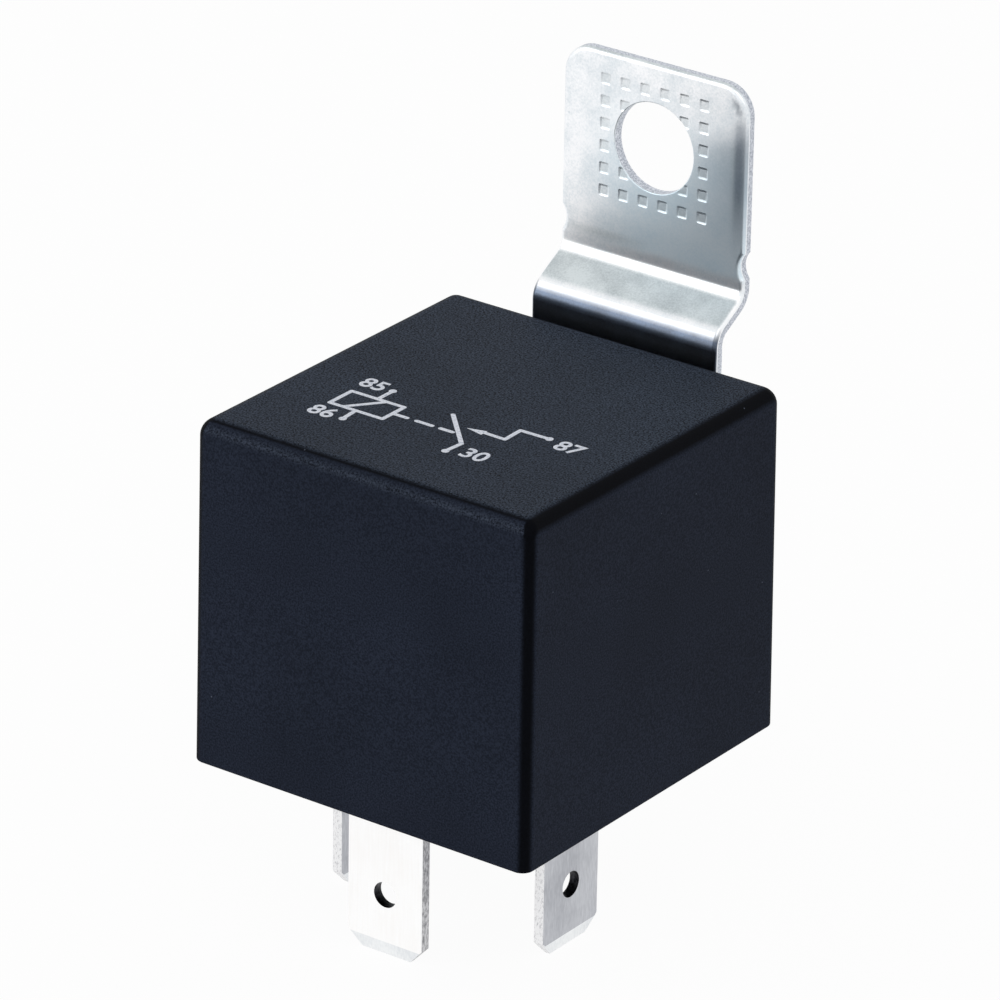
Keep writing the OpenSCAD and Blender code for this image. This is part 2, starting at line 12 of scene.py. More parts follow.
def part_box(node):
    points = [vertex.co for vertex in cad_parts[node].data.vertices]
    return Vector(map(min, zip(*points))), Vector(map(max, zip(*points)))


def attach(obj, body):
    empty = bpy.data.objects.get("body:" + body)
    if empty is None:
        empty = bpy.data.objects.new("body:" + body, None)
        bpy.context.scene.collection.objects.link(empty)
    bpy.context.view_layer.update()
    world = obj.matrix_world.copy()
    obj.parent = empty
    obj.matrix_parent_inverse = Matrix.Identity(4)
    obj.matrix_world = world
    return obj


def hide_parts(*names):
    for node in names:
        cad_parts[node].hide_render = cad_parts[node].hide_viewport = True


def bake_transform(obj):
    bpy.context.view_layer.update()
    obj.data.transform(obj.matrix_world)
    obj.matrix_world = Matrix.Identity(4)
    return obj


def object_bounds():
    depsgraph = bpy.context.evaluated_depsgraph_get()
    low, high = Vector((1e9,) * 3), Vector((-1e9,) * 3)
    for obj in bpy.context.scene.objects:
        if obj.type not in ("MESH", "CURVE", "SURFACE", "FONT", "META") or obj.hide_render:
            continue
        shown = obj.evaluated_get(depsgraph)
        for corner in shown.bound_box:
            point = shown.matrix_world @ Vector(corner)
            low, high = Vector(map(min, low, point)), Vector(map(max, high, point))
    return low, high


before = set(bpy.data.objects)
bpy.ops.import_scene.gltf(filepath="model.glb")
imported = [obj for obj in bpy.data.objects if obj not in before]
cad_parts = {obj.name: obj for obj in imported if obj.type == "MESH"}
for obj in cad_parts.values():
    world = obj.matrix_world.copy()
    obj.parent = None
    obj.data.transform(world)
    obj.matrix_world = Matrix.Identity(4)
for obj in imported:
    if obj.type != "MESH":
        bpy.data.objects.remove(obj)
cadLow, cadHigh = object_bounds()
mm = 0.001
print("frame loaded:", len(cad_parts), "CAD nodes")


def toLinear(hexColour):
    values = [int(hexColour[i:i + 2], 16) / 255 for i in (1, 3, 5)]
    return [v / 12.92 if v <= 0.04045 else ((v + 0.055) / 1.055) ** 2.4 for v in values] + [1]


def perSize(size):  # scale of a noise or cell texture whose features are that wide
    return 1 / (size * mm)


def perWave(period):  # scale of a wave texture, which repeats 20 / (2 pi) times in a unit
    return math.pi / 10 / (period * mm)


def addNode(tree, kind, inputs=None, stops=None, **settings):
    node = tree.nodes.new(kind)
    for key, value in settings.items():
        setattr(node, key, value)
    for key, value in (inputs or {}).items():
        if isinstance(value, bpy.types.NodeSocket):
            tree.links.new(value, node.inputs[key])
        else:
            node.inputs[key].default_value = value
    if stops:
        ramp = node.color_ramp.elements
        while len(ramp) < len(stops):
            ramp.new(0.5)
        for element, (position, colour) in zip(ramp, stops):
            element.position = position
            element.color = toLinear(colour)
    return node


def newMaterial(name, **constants):
    material = bpy.data.materials.new(name)
    material.use_nodes = True
    tree = material.node_tree
    tree.nodes.clear()
    shader = addNode(tree, "ShaderNodeBsdfPrincipled", {k.replace("_", " "): v for k, v in constants.items()})
    addNode(tree, "ShaderNodeOutputMaterial", {"Surface": shader.outputs[0]})
    place = addNode(tree, "ShaderNodeTexCoord").outputs["Object"]
    return material, tree, shader, place


def addNoise(tree, place, size, **inputs):
    noise = addNode(tree, "ShaderNodeTexNoise", {"Vector": place, "Scale": perSize(size), **inputs})
    return noise.outputs["Fac"]


def addCells(tree, place, spacing):
    cells = addNode(tree, "ShaderNodeTexVoronoi", {"Vector": place, "Scale": perSize(spacing)})
    return cells.outputs["Distance"]


def addWaves(tree, place, period, direction, **inputs):
    inputs = {"Vector": place, "Scale": perWave(period), **inputs}
    return addNode(tree, "ShaderNodeTexWave", inputs, bands_direction=direction).outputs["Fac"]


def stretchUp(tree, place, stretch):  # a share below 1 draws the pattern out along Z
    inputs = {"Vector": place, "Scale": (1, 1, stretch)}
    return addNode(tree, "ShaderNodeMapping", inputs, vector_type="POINT").outputs[0]


def addRange(tree, value, old, new=(0, 1)):
    limits = {"From Min": old[0], "From Max": old[1], "To Min": new[0], "To Max": new[1]}
    return addNode(tree, "ShaderNodeMapRange", {"Value": value, **limits}).outputs[0]


def addTint(tree, value, tones, colours):
    stops = list(zip(tones, colours))
    return addNode(tree, "ShaderNodeValToRGB", {"Fac": value}, stops=stops).outputs["Color"]


def mixColours(tree, weight, under, over):
    return addNode(tree, "ShaderNodeMix", {"Factor": weight, 6: under, 7: over}, data_type="RGBA").outputs[2]


def mixValues(tree, weight, under, over):
    return addNode(tree, "ShaderNodeMix", {"Factor": weight, 2: under, 3: over}).outputs[0]


def addMath(tree, first, second, operation):
    return addNode(tree, "ShaderNodeMath", {0: first, 1: second}, operation=operation).outputs[0]


def setSurface(tree, shader, colour, height, strength, depth):
    tree.links.new(colour, shader.inputs["Base Color"])
    relief = addNode(tree, "ShaderNodeBump", {"Height": height, "Strength": strength, "Distance": depth * mm})
    tree.links.new(relief.outputs[0], shader.inputs["Normal"])


# Glass-filled nylon, moulded in a spark-eroded tool: matt navy black, and its tiny round pits catch
# the light as specks. The top takes lighter specks, a painted sheen; the rounded edges are painted
# nearly black, a painted dark reflection, but for the front one, which has a paler band of painted
# sheen. A few specks of dust lie on it. Real pits are finer; these are drawn wide enough to show.
sparkGrain = {"side": ("#171c27", "#272d3b"), "top": ("#03050a", "#444d5c"), "edge": ("#020307", "#06080e"),
              "edgeSheen": ("#12161f", "#3f4756"), "pitSize": 0.13, "pitTones": (0.38, 0.62), "pitStrength": 0.6,
              "pitDepth": 0.006, "topLean": (0.9, 0.99), "patchSize": 9, "patchTones": (0.3, 0.7),
              "patchShade": (0.9, 1.1), "dust": "#6f7788", "dustSpacing": 2.6, "dustSize": 0.14,
              "dustCover": 0.9}
coverPlastic, tree, shader, place = newMaterial(
    "spark_textured_nylon", Roughness=0.55, Specular_IOR_Level=0.03, IOR=1.53)
specks = addNoise(tree, place, sparkGrain["pitSize"], Detail=2, Roughness=0.65)
tints = {kind: addTint(tree, specks, sparkGrain["pitTones"], sparkGrain[kind])
         for kind in ("side", "top", "edge", "edgeSheen")}
normal = addNode(tree, "ShaderNodeTexCoord").outputs["Normal"]
lean = addNode(tree, "ShaderNodeSeparateXYZ", {"Vector": normal}).outputs["Z"]
# Painted sheen: faces that look up take the top's lighter speck colours
upward = addRange(tree, lean, sparkGrain["topLean"])
# Painted dark reflection: the rounded edges take the near-black edge colour
darkEdgeReflection = addNode(tree, "ShaderNodeAttribute", attribute_name="darkEdgeReflection").outputs["Fac"]
# Painted sheen: a paler speckled band along the front top edge
edgeSheen = addNode(tree, "ShaderNodeAttribute", attribute_name="edgeSheen").outputs["Fac"]
colour = tints["side"]
for mask, kind in ((upward, "top"), (darkEdgeReflection, "edge"), (edgeSheen, "edgeSheen")):
    colour = mixColours(tree, mask, colour, tints[kind])
patches = addNoise(tree, place, sparkGrain["patchSize"])
shade = addRange(tree, patches, sparkGrain["patchTones"], sparkGrain["patchShade"])
colour = addNode(tree, "ShaderNodeVectorMath", {0: colour, "Scale": shade}, operation="SCALE").outputs[0]
speckEdge = sparkGrain["dustSize"] / 2 / sparkGrain["dustSpacing"]
dust = addCells(tree, place, sparkGrain["dustSpacing"])
dusty = addRange(tree, dust, (0, speckEdge), (sparkGrain["dustCover"], 0))
colour = mixColours(tree, dusty, colour, toLinear(sparkGrain["dust"]))
setSurface(tree, shader, colour, specks, sparkGrain["pitStrength"], sparkGrain["pitDepth"])

# The same nylon from a milled tool: a little glossier, with faint sweeps of the cutter
milledMould = {"colours": ("#0e1016", "#1a1d25"), "tones": (0.3, 0.7), "cloudSize": 1.5, "sweep": 0.35,
               "waver": 3, "strength": 0.4, "depth": 0.004}
basePlastic, tree, shader, place = newMaterial(
    "milled_mould_nylon", Roughness=0.42, Specular_IOR_Level=0.2, IOR=1.53)
sweeps = addWaves(tree, place, milledMould["sweep"], "DIAGONAL", Distortion=milledMould["waver"])
cloud = addNoise(tree, place, milledMould["cloudSize"], Detail=4)
setSurface(tree, shader, addTint(tree, cloud, milledMould["tones"], milledMould["colours"]),
           sweeps, milledMould["strength"], milledMould["depth"])


# One recipe for sheet and headed metals: a soft cloud in the plating, a fine grain that rolling
# stretches along the strip, and a few dark pits. Painted zones have a finish of their own.
plating = {"grainSize": 0.14, "grainShare": 0.4, "tones": (0.36, 0.6), "glossTones": (0.35, 0.65),
           "duller": 0.05, "glossier": 0.02, "pitSpacing": 2.4, "pitEdge": (0.025, 0.05), "strength": 0.7}


def plainMetal(name, bright, dull, roughness, cloudSize=3.5, stretch=1.0, grainDepth=0.0015, zones=()):
    p = plating
    material, tree, shader, place = newMaterial(name, Metallic=1, Roughness=roughness)
    grain = addNoise(tree, stretchUp(tree, place, stretch), p["grainSize"], Detail=3)
    cloud = addNoise(tree, place, cloudSize, Detail=5, Roughness=0.55)
    clean = addRange(tree, addCells(tree, place, p["pitSpacing"]), p["pitEdge"])
    mottle = mixValues(tree, p["grainShare"], cloud, grain)
    colour = mixColours(tree, clean, toLinear(dull), addTint(tree, mottle, p["tones"], (dull, bright)))
    gloss = addRange(tree, mottle, p["glossTones"], (roughness + p["duller"], roughness - p["glossier"]))
    for zone, zoneDull, zoneBright, zoneRoughness in zones:
        weight = addNode(tree, "ShaderNodeAttribute", attribute_name=zone).outputs["Fac"]
        colour = mixColours(tree, weight, colour, addTint(tree, mottle, p["tones"], (zoneDull, zoneBright)))
        gloss = mixValues(tree, weight, gloss, zoneRoughness)
    tree.links.new(gloss, shader.inputs["Roughness"])
    setSurface(tree, shader, colour, addMath(tree, grain, clean, "ADD"), p["strength"], grainDepth)
    return material


# Where a die shears the strip: a torn, sparkling band whose tears run through the thickness
torn = {"roughness": 0.42, "contrast": 0.11, "strength": 0.6, "depth": 0.012}


def shearedEdge(name, bright, dull, share=0.5, tearSize=0.13, stretch=0.5):
    material, tree, shader, place = newMaterial(name, Metallic=1, Roughness=torn["roughness"])
    tear = addNoise(tree, stretchUp(tree, place, stretch), tearSize, Detail=3, Roughness=0.7)
    tones = (share - torn["contrast"], share + torn["contrast"])
    tint = addTint(tree, tear, tones, (dull, bright))
    setSurface(tree, shader, tint, tear, torn["strength"], torn["depth"])
    return material


# Zinc: the bending die draws the bends and the shank smooth. The step and the dents' floors are painted
# a darker grey speckle, a painted shade; the tab's right edge and the shank's top are painted nearly
# black, a painted dark reflection; and the tab's lower right is painted a darker blue, a painted shade.
zincZones = [("drawn", "#eef3f7", "#ffffff", 0.29), ("blueShade", "#d3e4ee", "#e1edf4", 0.39),
             ("shadeAndStreak", "#b2babd", "#d3dadc", 0.36), ("darkReflection", "#12233a", "#2a435f", 0.3)]
zincSteel = plainMetal("zinc_plated_stamped_steel", "#fbfcfe", "#dce3e8", 0.31, cloudSize=2.6, grainDepth=0,
                       zones=zincZones)
zincEdge = shearedEdge("sheared_zinc_plated_steel", "#dde1e8", "#a3a9b4", stretch=1)

# Tin: nearly white and streaked by rolling on blade 87, and painted greyer on the others, a painted shade.
# The tips' coined bevels and the bores are painted darker, a painted shade; the front blade's edges are torn
# and painted darker than the others' edges, painted shade and light by which way they face.
tinnedBrass = plainMetal("tin_plated_rolled_brass", "#ffffff", "#fbfaf9", 0.33, stretch=0.05,
                         grainDepth=0.0002)
shadedTin = plainMetal("shaded_tin_plated_brass", "#c6c8cd", "#aeb0b6", 0.36, cloudSize=5, stretch=0.2,
                      grainDepth=0.0003)
# Painted shade: a greyer tin for the tips' coined bevels
tipShadeTin = plainMetal("tin_plated_brass_tip_shade", "#f3f5f6", "#e2e5e8", 0.33, stretch=0.3, grainDepth=0.0004)
tinnedEdge = shearedEdge("sheared_tin_plated_brass", "#efeff0", "#adadb1", 0.38)
# Painted shade: a darker copy of the sheared edge for blade 87
shadedTinEdge = shearedEdge("shaded_torn_tin_plated_brass", "#d2d2d4", "#87878b", 0.48, tearSize=0.2)
# Painted shade: the bores' walls are painted nearly black
shadedBore = shearedEdge("punched_bore_painted_shade", "#3c3d42", "#0e0f12", tearSize=0.3)

# Inside: grey iron, warm spring bronze with rolling streaks, headed rivets and pale pressed silver
softIron = plainMetal("zinc_plated_soft_iron", "#b8bcbe", "#9a9fa3", 0.38)
springBronze = plainMetal("rolled_phosphor_bronze", "#cf9a5c", "#b98549", 0.33, stretch=0.05)
rivetSteel = plainMetal("headed_steel_rivet", "#b9bdbf", "#93989c", 0.35, cloudSize=0.8)
rivetBrass = plainMetal("headed_brass_rivet", "#cda75a", "#b08a45", 0.33, cloudSize=0.8)
silverContact = plainMetal("pressed_silver_tin_oxide", "#dedcd6", "#bfbdb6", 0.36, cloudSize=0.6)

# Natural nylon, moulded: milky and faintly yellow, and light goes a little way in
milkyNylon = {"colours": ("#ddd8c8", "#ece8dc"), "tones": (0.3, 0.7), "cloudSize": 3, "lightDepth": 0.6,
              "strength": 0.3, "depth": 0.02}
bobbinNylon, tree, shader, place = newMaterial(
    "natural_moulded_nylon", Roughness=0.38, IOR=1.53, Subsurface_Weight=0.3,
    Subsurface_Scale=milkyNylon["lightDepth"] * mm)
cloud = addNoise(tree, place, milkyNylon["cloudSize"], Detail=4)
setSurface(tree, shader, addTint(tree, cloud, milkyNylon["tones"], milkyNylon["colours"]),
           cloud, milkyNylon["strength"], milkyNylon["depth"])

# Enamelled copper wire, wound in layers: clear lacquer over copper, with a ridge for each turn.
# Real wire is about 0.12 thick; it is drawn at 0.25 so that the turns can be told apart.
winding = {"colours": ("#5d2712", "#b5602f"), "tones": (0.1, 0.7), "wire": 0.25, "waver": 0.4, "strength": 1,
           "depth": 0.06}
enamelledCopper, tree, shader, place = newMaterial("lacquered_copper_winding", Metallic=1, Roughness=0.3,
                                                   Coat_Weight=0.5, Coat_Roughness=0.12)
turns = addWaves(tree, place, winding["wire"], "Z", Distortion=winding["waver"], Detail=1)
setSurface(tree, shader, addTint(tree, turns, winding["tones"], winding["colours"]),
           turns, winding["strength"], winding["depth"])

# Solder that froze on the post: bright, with a slightly wrinkled skin
solder = {"colours": ("#a9adb0", "#d5d8d9"), "tones": (0.3, 0.7), "wrinkleSize": 0.5, "strength": 0.6,
          "depth": 0.05}
solderTin, tree, shader, place = newMaterial("frozen_tin_solder", Metallic=1, Roughness=0.24)
wrinkle = addNoise(tree, place, solder["wrinkleSize"], Detail=4, Distortion=1)
setSurface(tree, shader, addTint(tree, wrinkle, solder["tones"], solder["colours"]),
           wrinkle, solder["strength"], solder["depth"])

# Two-part ink, pad-printed: a pale film that follows the grain under it and thins over its peaks
ink = {"colours": ("#b9c3d4", "#f1f5ff"), "tones": (0.3, 0.5), "grainSize": 0.12, "strength": 0.5,
       "depth": 0.01}
printInk, tree, shader, place = newMaterial(
    "pad_printed_ink", Roughness=0.55, IOR=1.5, Specular_IOR_Level=0.2)
film = addNoise(tree, place, ink["grainSize"], Detail=3)
setSurface(tree, shader, addTint(tree, film, ink["tones"], ink["colours"]),
           film, ink["strength"], ink["depth"])
print("materials made:", len(bpy.data.materials))


def addPiece(name, mesh, body, slot, *materials):
    piece = bpy.data.objects.new(name, mesh)
    bpy.context.scene.collection.objects.link(piece)
    for material in materials:
        mesh.materials.append(material)
    if body:
        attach(piece, body)
    return piece


def finishMesh(bm, name, sharpAngle=35):
    bmesh.ops.recalc_face_normals(bm, faces=bm.faces)
    mesh = bpy.data.meshes.new(name)
    bm.to_mesh(mesh)
    bm.free()
    mesh.transform(Matrix.Scale(mm, 4))
    mesh.shade_smooth()
    mesh.set_sharp_from_angle(angle=math.radians(sharpAngle))
    return mesh


def holdFlats(piece):  # flat faces keep their own normals beside rounded edges
    weighted = piece.modifiers.new("hold flats", "WEIGHTED_NORMAL")
    weighted.keep_sharp = True


def paint(mesh, name, values):  # a value for each point, which a material reads by its name
    data = mesh.attributes.new(name, "FLOAT", "POINT").data
    data.foreach_set("value", np.asarray(values, dtype=np.float32))


def fade(values, ends):  # 0 up to the first end and 1 from the second on
    start, end = ends
    return np.clip((values - start) / (end - start), 0, 1)


quarters = [(1, 1), (-1, 1), (-1, -1), (1, -1)]


def arc(cx, cy, r, start, end, steps):
    angles = [math.radians(start + (end - start) * i / steps) for i in range(steps + 1)]
    return [(cx + r * math.cos(a), cy + r * math.sin(a)) for a in angles]


def circle(cx, cy, r, steps=72):  # clockwise, so that inset moves it into the sheet around it
    return arc(cx, cy, r, 360, 0, steps)[:-1]


def inset(loop, distance):  # moves a closed loop into the material on its left
    points = np.array(loop)
    ahead = np.roll(points, -1, 0) - points
    ahead /= np.linalg.norm(ahead, axis=1)[:, None]
    normal = np.stack([-ahead[:, 1], ahead[:, 0]], 1)
    both = normal + np.roll(normal, 1, 0)
    return points + distance * both * 2 / (both ** 2).sum(1)[:, None]


def insideLoop(points, loop):
    loop = np.array(loop)
    x, y = points[:, 0:1], points[:, 1:2]
    x1, y1 = loop[:, 0], loop[:, 1]
    x2, y2 = np.roll(x1, -1), np.roll(y1, -1)
    with np.errstate(divide="ignore", invalid="ignore"):
        crosses = ((y1 > y) != (y2 > y)) & (x < (x2 - x1) * (y - y1) / (y2 - y1) + x1)
    return crosses.sum(1) % 2 == 1


def edgeDistance(points, loops):
    best = np.full(len(points), np.inf)
    for loop in loops:
        a = np.array(loop)
        b = np.roll(a, -1, 0)
        for start, end in zip(a, b):
            along = end - start
            t = np.clip(((points - start) @ along) / (along @ along), 0, 1)
            best = np.minimum(best, np.linalg.norm(points - start - t[:, None] * along, axis=1))
    return best


def triangulate(loops, lines, keep):
    points, edges = [], []
    for loop in loops:
        first = len(points)
        points += [Vector(p) for p in loop]
        edges += [(first + i, first + (i + 1) % len(loop)) for i in range(len(loop))]
    for start, end in lines:
        edges.append((len(points), len(points) + 1))
        points += [Vector(start), Vector(end)]
    made = delaunay_2d_cdt(points, edges, [], 0, 1e-4, False)
    flat = np.array([tuple(p) for p in made[0]])
    faces = np.array([f for f in made[2] if len(f) == 3])
    return flat, faces[keep(flat[faces].mean(1))]


def thicken(bm, flat, faces, top, bottom):
    # Closes a triangulated sheet into a solid: top and bottom give each point's place in space
    upper = [bm.verts.new(p) for p in top]
    lower = [bm.verts.new(p) for p in bottom]
    borders = set()
    for face in faces:
        a, b, c = flat[face]
        corners = [int(i) for i in face]
        if (b[0] - a[0]) * (c[1] - a[1]) < (b[1] - a[1]) * (c[0] - a[0]):
            corners.reverse()
        bm.faces.new([upper[i] for i in corners])
        bm.faces.new([lower[i] for i in reversed(corners)])
        borders.update(zip(corners, corners[1:] + corners[:1]))
    for i, j in borders:
        if (j, i) not in borders:
            side = bm.faces.new([upper[j], upper[i], lower[i], lower[j]])
            side.material_index = 1
    bmesh.ops.delete(bm, geom=[v for v in bm.verts if not v.link_faces], context="VERTS")


# A bent strip's chain is a list of flat lengths and (inner radius, angle) bends, from s = 0 on;
# a positive angle bends towards the front, which is -Y. x is across, s along, depth goes back.
def bendLengths(chain, thickness):
    return [part if not isinstance(part, tuple) else
            math.radians(abs(part[1])) * (part[0] + thickness / 2) for part in chain]


def layAlong(chain, thickness, x, s, depth, start, heading=0):
    y0, z0 = start
    angle = math.radians(heading)
    y, z = np.zeros(len(s)), np.zeros(len(s))
    done = 0
    for part, length in zip(chain, bendLengths(chain, thickness)):
        here = (s >= done - 1e-6)
        local = s - done
        if isinstance(part, tuple):
            turn = math.radians(part[1])
            radius = part[0] if turn > 0 else -(part[0] + thickness)
            cy, cz = y0 - radius * math.cos(angle), z0 - radius * math.sin(angle)
            a = angle + turn * np.clip(local / length, 0, 1)
            py, pz = cy + (radius + depth) * np.cos(a), cz + (radius + depth) * np.sin(a)
            angle += turn
            y0, z0 = cy + radius * math.cos(angle), cz + radius * math.sin(angle)
        else:
            py = y0 - local * math.sin(angle) + depth * math.cos(angle)
            pz = z0 + local * math.cos(angle) + depth * math.sin(angle)
            y0, z0 = y0 - length * math.sin(angle), z0 + length * math.cos(angle)
        y, z = np.where(here, py, y), np.where(here, pz, z)
        done += length
    return np.stack([x, y, z], 1)


def rolledEdge(distance, roll):  # how far a sheet's face falls away beside its edge
    return roll - np.sqrt(np.clip(roll ** 2 - (roll - np.minimum(distance, roll)) ** 2, 0, None))


def bentStrip(name, outline, holes, thickness, chain, start, heading=0, roll=0.1, holeRoll=0.08, burr=0.04,
              dents=None, lines=()):
    # Blanked and bent strip: the die rolls its front edges over and leaves a small burr at the back
    edges = [(outline, roll)] + [(hole, holeRoll) for hole in holes]
    rings = [inset(loop, width * (1 - math.cos(math.radians(a)))) for loop, width in edges
             for a in range(10, 91, 10)]
    rings += [inset(loop, width * 1.2) for loop, width in edges]  # keeps the flat's shading off the roll
    crossings, done = [], 0
    for part, length in zip(chain, bendLengths(chain, thickness)):
        if isinstance(part, tuple):
            steps = max(4, round(abs(part[1]) / 5))
            crossings += [done + length * i / steps for i in range(steps + 1)]
        done += length
    reach = max(abs(p[0]) for p in outline) + 1
    dentLoops, dentDepth = dents or ([], None)

    def keep(middles):
        kept = insideLoop(middles, outline)
        for hole in holes:
            kept &= ~insideLoop(middles, hole)
        return kept

    lines = list(lines) + [((-reach, s), (reach, s)) for s in crossings]
    flat, faces = triangulate([outline] + holes + rings + dentLoops, lines, keep)
    toOutline, toHoles = edgeDistance(flat, [outline]), edgeDistance(flat, holes)
    front = np.maximum(rolledEdge(toOutline, roll), rolledEdge(toHoles, holeRoll))
    if dentDepth:
        front = front + dentDepth(flat)
    back = thickness - burr * np.clip(1 - np.minimum(toOutline, toHoles) / burr, 0, 1)
    bm = bmesh.new()
    thicken(bm, flat, faces, layAlong(chain, thickness, flat[:, 0], flat[:, 1], front, start, heading),
            layAlong(chain, thickness, flat[:, 0], flat[:, 1], back, start, heading))
    return finishMesh(bm, name, 12)


def joinMeshes(name, *meshes):
    bm = bmesh.new()
    for mesh in meshes:
        bm.from_mesh(mesh)
    bm.to_mesh(meshes[0])
    bm.free()
    meshes[0].name = name
    return meshes[0]


def boxMesh(name, low, high):
    bm = bmesh.new()
    bmesh.ops.create_cube(bm, size=1)
    for v in bm.verts:
        v.co = [low[k] if v.co[k] < 0 else high[k] for k in range(3)]
    return finishMesh(bm, name)


def settled(piece):  # the mesh as its modifiers leave it
    bpy.context.view_layer.update()
    return bpy.data.meshes.new_from_object(piece.evaluated_get(bpy.context.evaluated_depsgraph_get()))


def combine(mesh, others, operation, bevelWidth=0):
    # Boolean of plain meshes through throwaway objects, and a small bevel on what stays sharp
    made = [bpy.data.objects.new("part", m) for m in [mesh] + others]
    for o in made:
        bpy.context.scene.collection.objects.link(o)
    for o in made[1:]:
        cut = made[0].modifiers.new("cut", "BOOLEAN")
        cut.operation, cut.solver, cut.object = operation, "EXACT", o
    if bevelWidth:
        soften = made[0].modifiers.new("moulded edges", "BEVEL")
        soften.width, soften.segments = bevelWidth * mm, 2
        soften.limit_method, soften.angle_limit = "ANGLE", math.radians(40)
    result = settled(made[0])
    for o in made:
        bpy.data.objects.remove(o)
    return result


# The cover: each side leans in a little towards the top
coverSizes = {"draft": 0.2, "wall": 1.2, "sideRadius": 0.9, "topRadius": 1.2, "innerRadius": 0.5,
              "rimRadius": 0.12, "cornerSteps": 12, "bevel": 0.15}
# Where its edges are painted dark, a painted dark reflection, by the angle between the normal and the
# nearest axis, and where the front one carries a painted sheen, by the normal's parts. It reaches
# sideDepth and topDepth in from the outer faces, and leaves out backDepth at the back.
coverEdgeLight = {"darkEdgeTurn": (11, 26), "sheenHeight": 0.48, "sheenFade": (0.3, 0), "frontLean": 0.3,
             "frontLow": 0.2, "frontHigh": 0.86, "frontSide": 0.25, "sideDepth": 1.5, "topDepth": 0.5,
             "backDepth": 0.1}
coverLow, coverHigh = (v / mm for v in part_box("cover"))
coverTop, coverHalfW, coverHalfD = coverHigh.z, coverHigh.x, -coverLow.y


def roundedRing(halfW, halfD, radius, z):
    radius = max(radius, 0)
    ring = []
    for i, (sx, sy) in enumerate(quarters):
        ring += arc(sx * (halfW - radius), sy * (halfD - radius), radius, 90 * i, 90 * i + 90,
                    coverSizes["cornerSteps"])
    return [(x, y, z) for x, y in ring]


def makeCover():
    c = coverSizes
    rings = []
    for a in (0, 30, 60, 90):  # rim
        out = c["rimRadius"] * (1 - math.sin(math.radians(a)))
        z = c["rimRadius"] * (1 - math.cos(math.radians(a)))
        rings.append(roundedRing(coverHalfW - out, coverHalfD - out, c["sideRadius"] - out, z))
    for a in range(0, 91, 9):  # edge round the top
        top = c["topRadius"]
        back = top * (1 - math.cos(math.radians(a)))
        z = coverTop - top + top * math.sin(math.radians(a))
        corner = c["sideRadius"] + (top - c["sideRadius"]) * a / 90 - back
        rings.append(roundedRing(coverHalfW - c["draft"] - back, coverHalfD - c["draft"] - back, corner, z))
    inner = []
    w, d, h = coverHalfW - c["wall"], coverHalfD - c["wall"], coverTop - c["wall"]
    inner.append(roundedRing(w, d, c["innerRadius"], 0))
    for a in range(0, 91, 30):
        back = c["innerRadius"] * (1 - math.cos(math.radians(a)))
        z = h - c["innerRadius"] + c["innerRadius"] * math.sin(math.radians(a))
        inner.append(roundedRing(w - c["draft"] - back, d - c["draft"] - back, c["innerRadius"] - back, z))
    bm = bmesh.new()
    stack = [[bm.verts.new(p) for p in ring] for ring in inner[::-1] + rings]
    for low, high in zip(stack, stack[1:]):
        for i in range(len(low)):
            j = (i + 1) % len(low)
            bm.faces.new([low[i], low[j], high[j], high[i]])
    bm.faces.new(stack[0])
    bm.faces.new(stack[-1])
    bmesh.ops.remove_doubles(bm, verts=bm.verts, dist=0.001)
    return finishMesh(bm, "cover shell")


# Open-topped pocket on the cover's back for the strip, with a window for its snap tongue
sleeveSizes = {"foot": 5, "drop": 5, "wall": 1.3, "pocketWidth": 15.8, "pocketDepth": 1.05,
               "pocketFront": 15.2, "chamfer": 0.6, "windowWidth": 4.4, "windowFoot": 9.9,
               "windowHeight": 5.2}


def makeSleeve():
    s = sleeveSizes
    halfW = s["pocketWidth"] / 2 + s["wall"]
    back = coverHigh.y
    front = coverHalfD - coverSizes["draft"] - coverSizes["wall"] / 2
    profile = [(-halfW, front), (halfW, front), (halfW, back - s["chamfer"]), (halfW - s["chamfer"], back),
               (s["chamfer"] - halfW, back), (-halfW, back - s["chamfer"])]
    bm = bmesh.new()
    low = [bm.verts.new((x, y, s["foot"])) for x, y in profile]
    high = [bm.verts.new((x, y, coverTop - s["drop"])) for x, y in profile]
    for i in range(len(profile)):
        j = (i + 1) % len(profile)
        bm.faces.new([low[i], low[j], high[j], high[i]])
    bm.faces.new(low)
    bm.faces.new(high)
    halfPocket = s["pocketWidth"] / 2
    pocket = boxMesh("pocket", (-halfPocket, s["pocketFront"], s["foot"] + s["wall"]),
                     (halfPocket, s["pocketFront"] + s["pocketDepth"], coverTop))
    halfWindow, inPocket = s["windowWidth"] / 2, s["pocketFront"] + s["pocketDepth"] / 2
    window = boxMesh("window", (-halfWindow, inPocket, s["windowFoot"]),
                     (halfWindow, back + 1, s["windowFoot"] + s["windowHeight"]))
    return combine(finishMesh(bm, "sleeve block"), [pocket, window], "DIFFERENCE")


shell = combine(makeCover(), [makeSleeve()], "UNION", coverSizes["bevel"])
places = np.array([v.co for v in shell.vertices]) / mm
normals = np.array([v.normal for v in shell.vertices])
turned = np.degrees(np.arccos(np.clip(np.abs(normals).max(1), 0, 1)))
marksAndShade, lean = coverEdgeLight, normals[:, 2]
outside = np.abs(places[:, 0]) > coverHalfW - marksAndShade["sideDepth"]
outside |= places[:, 1] < marksAndShade["sideDepth"] - coverHalfD
outside |= places[:, 2] > coverTop - marksAndShade["topDepth"]
outside &= places[:, 1] < coverHalfD - marksAndShade["backDepth"]
onFrontEdge = (normals[:, 1] < -marksAndShade["frontLean"]) & (lean > marksAndShade["frontLow"])
onFrontEdge &= np.abs(normals[:, 0]) < marksAndShade["frontSide"]
notSheen = 1 - onFrontEdge * (lean < marksAndShade["frontHigh"])
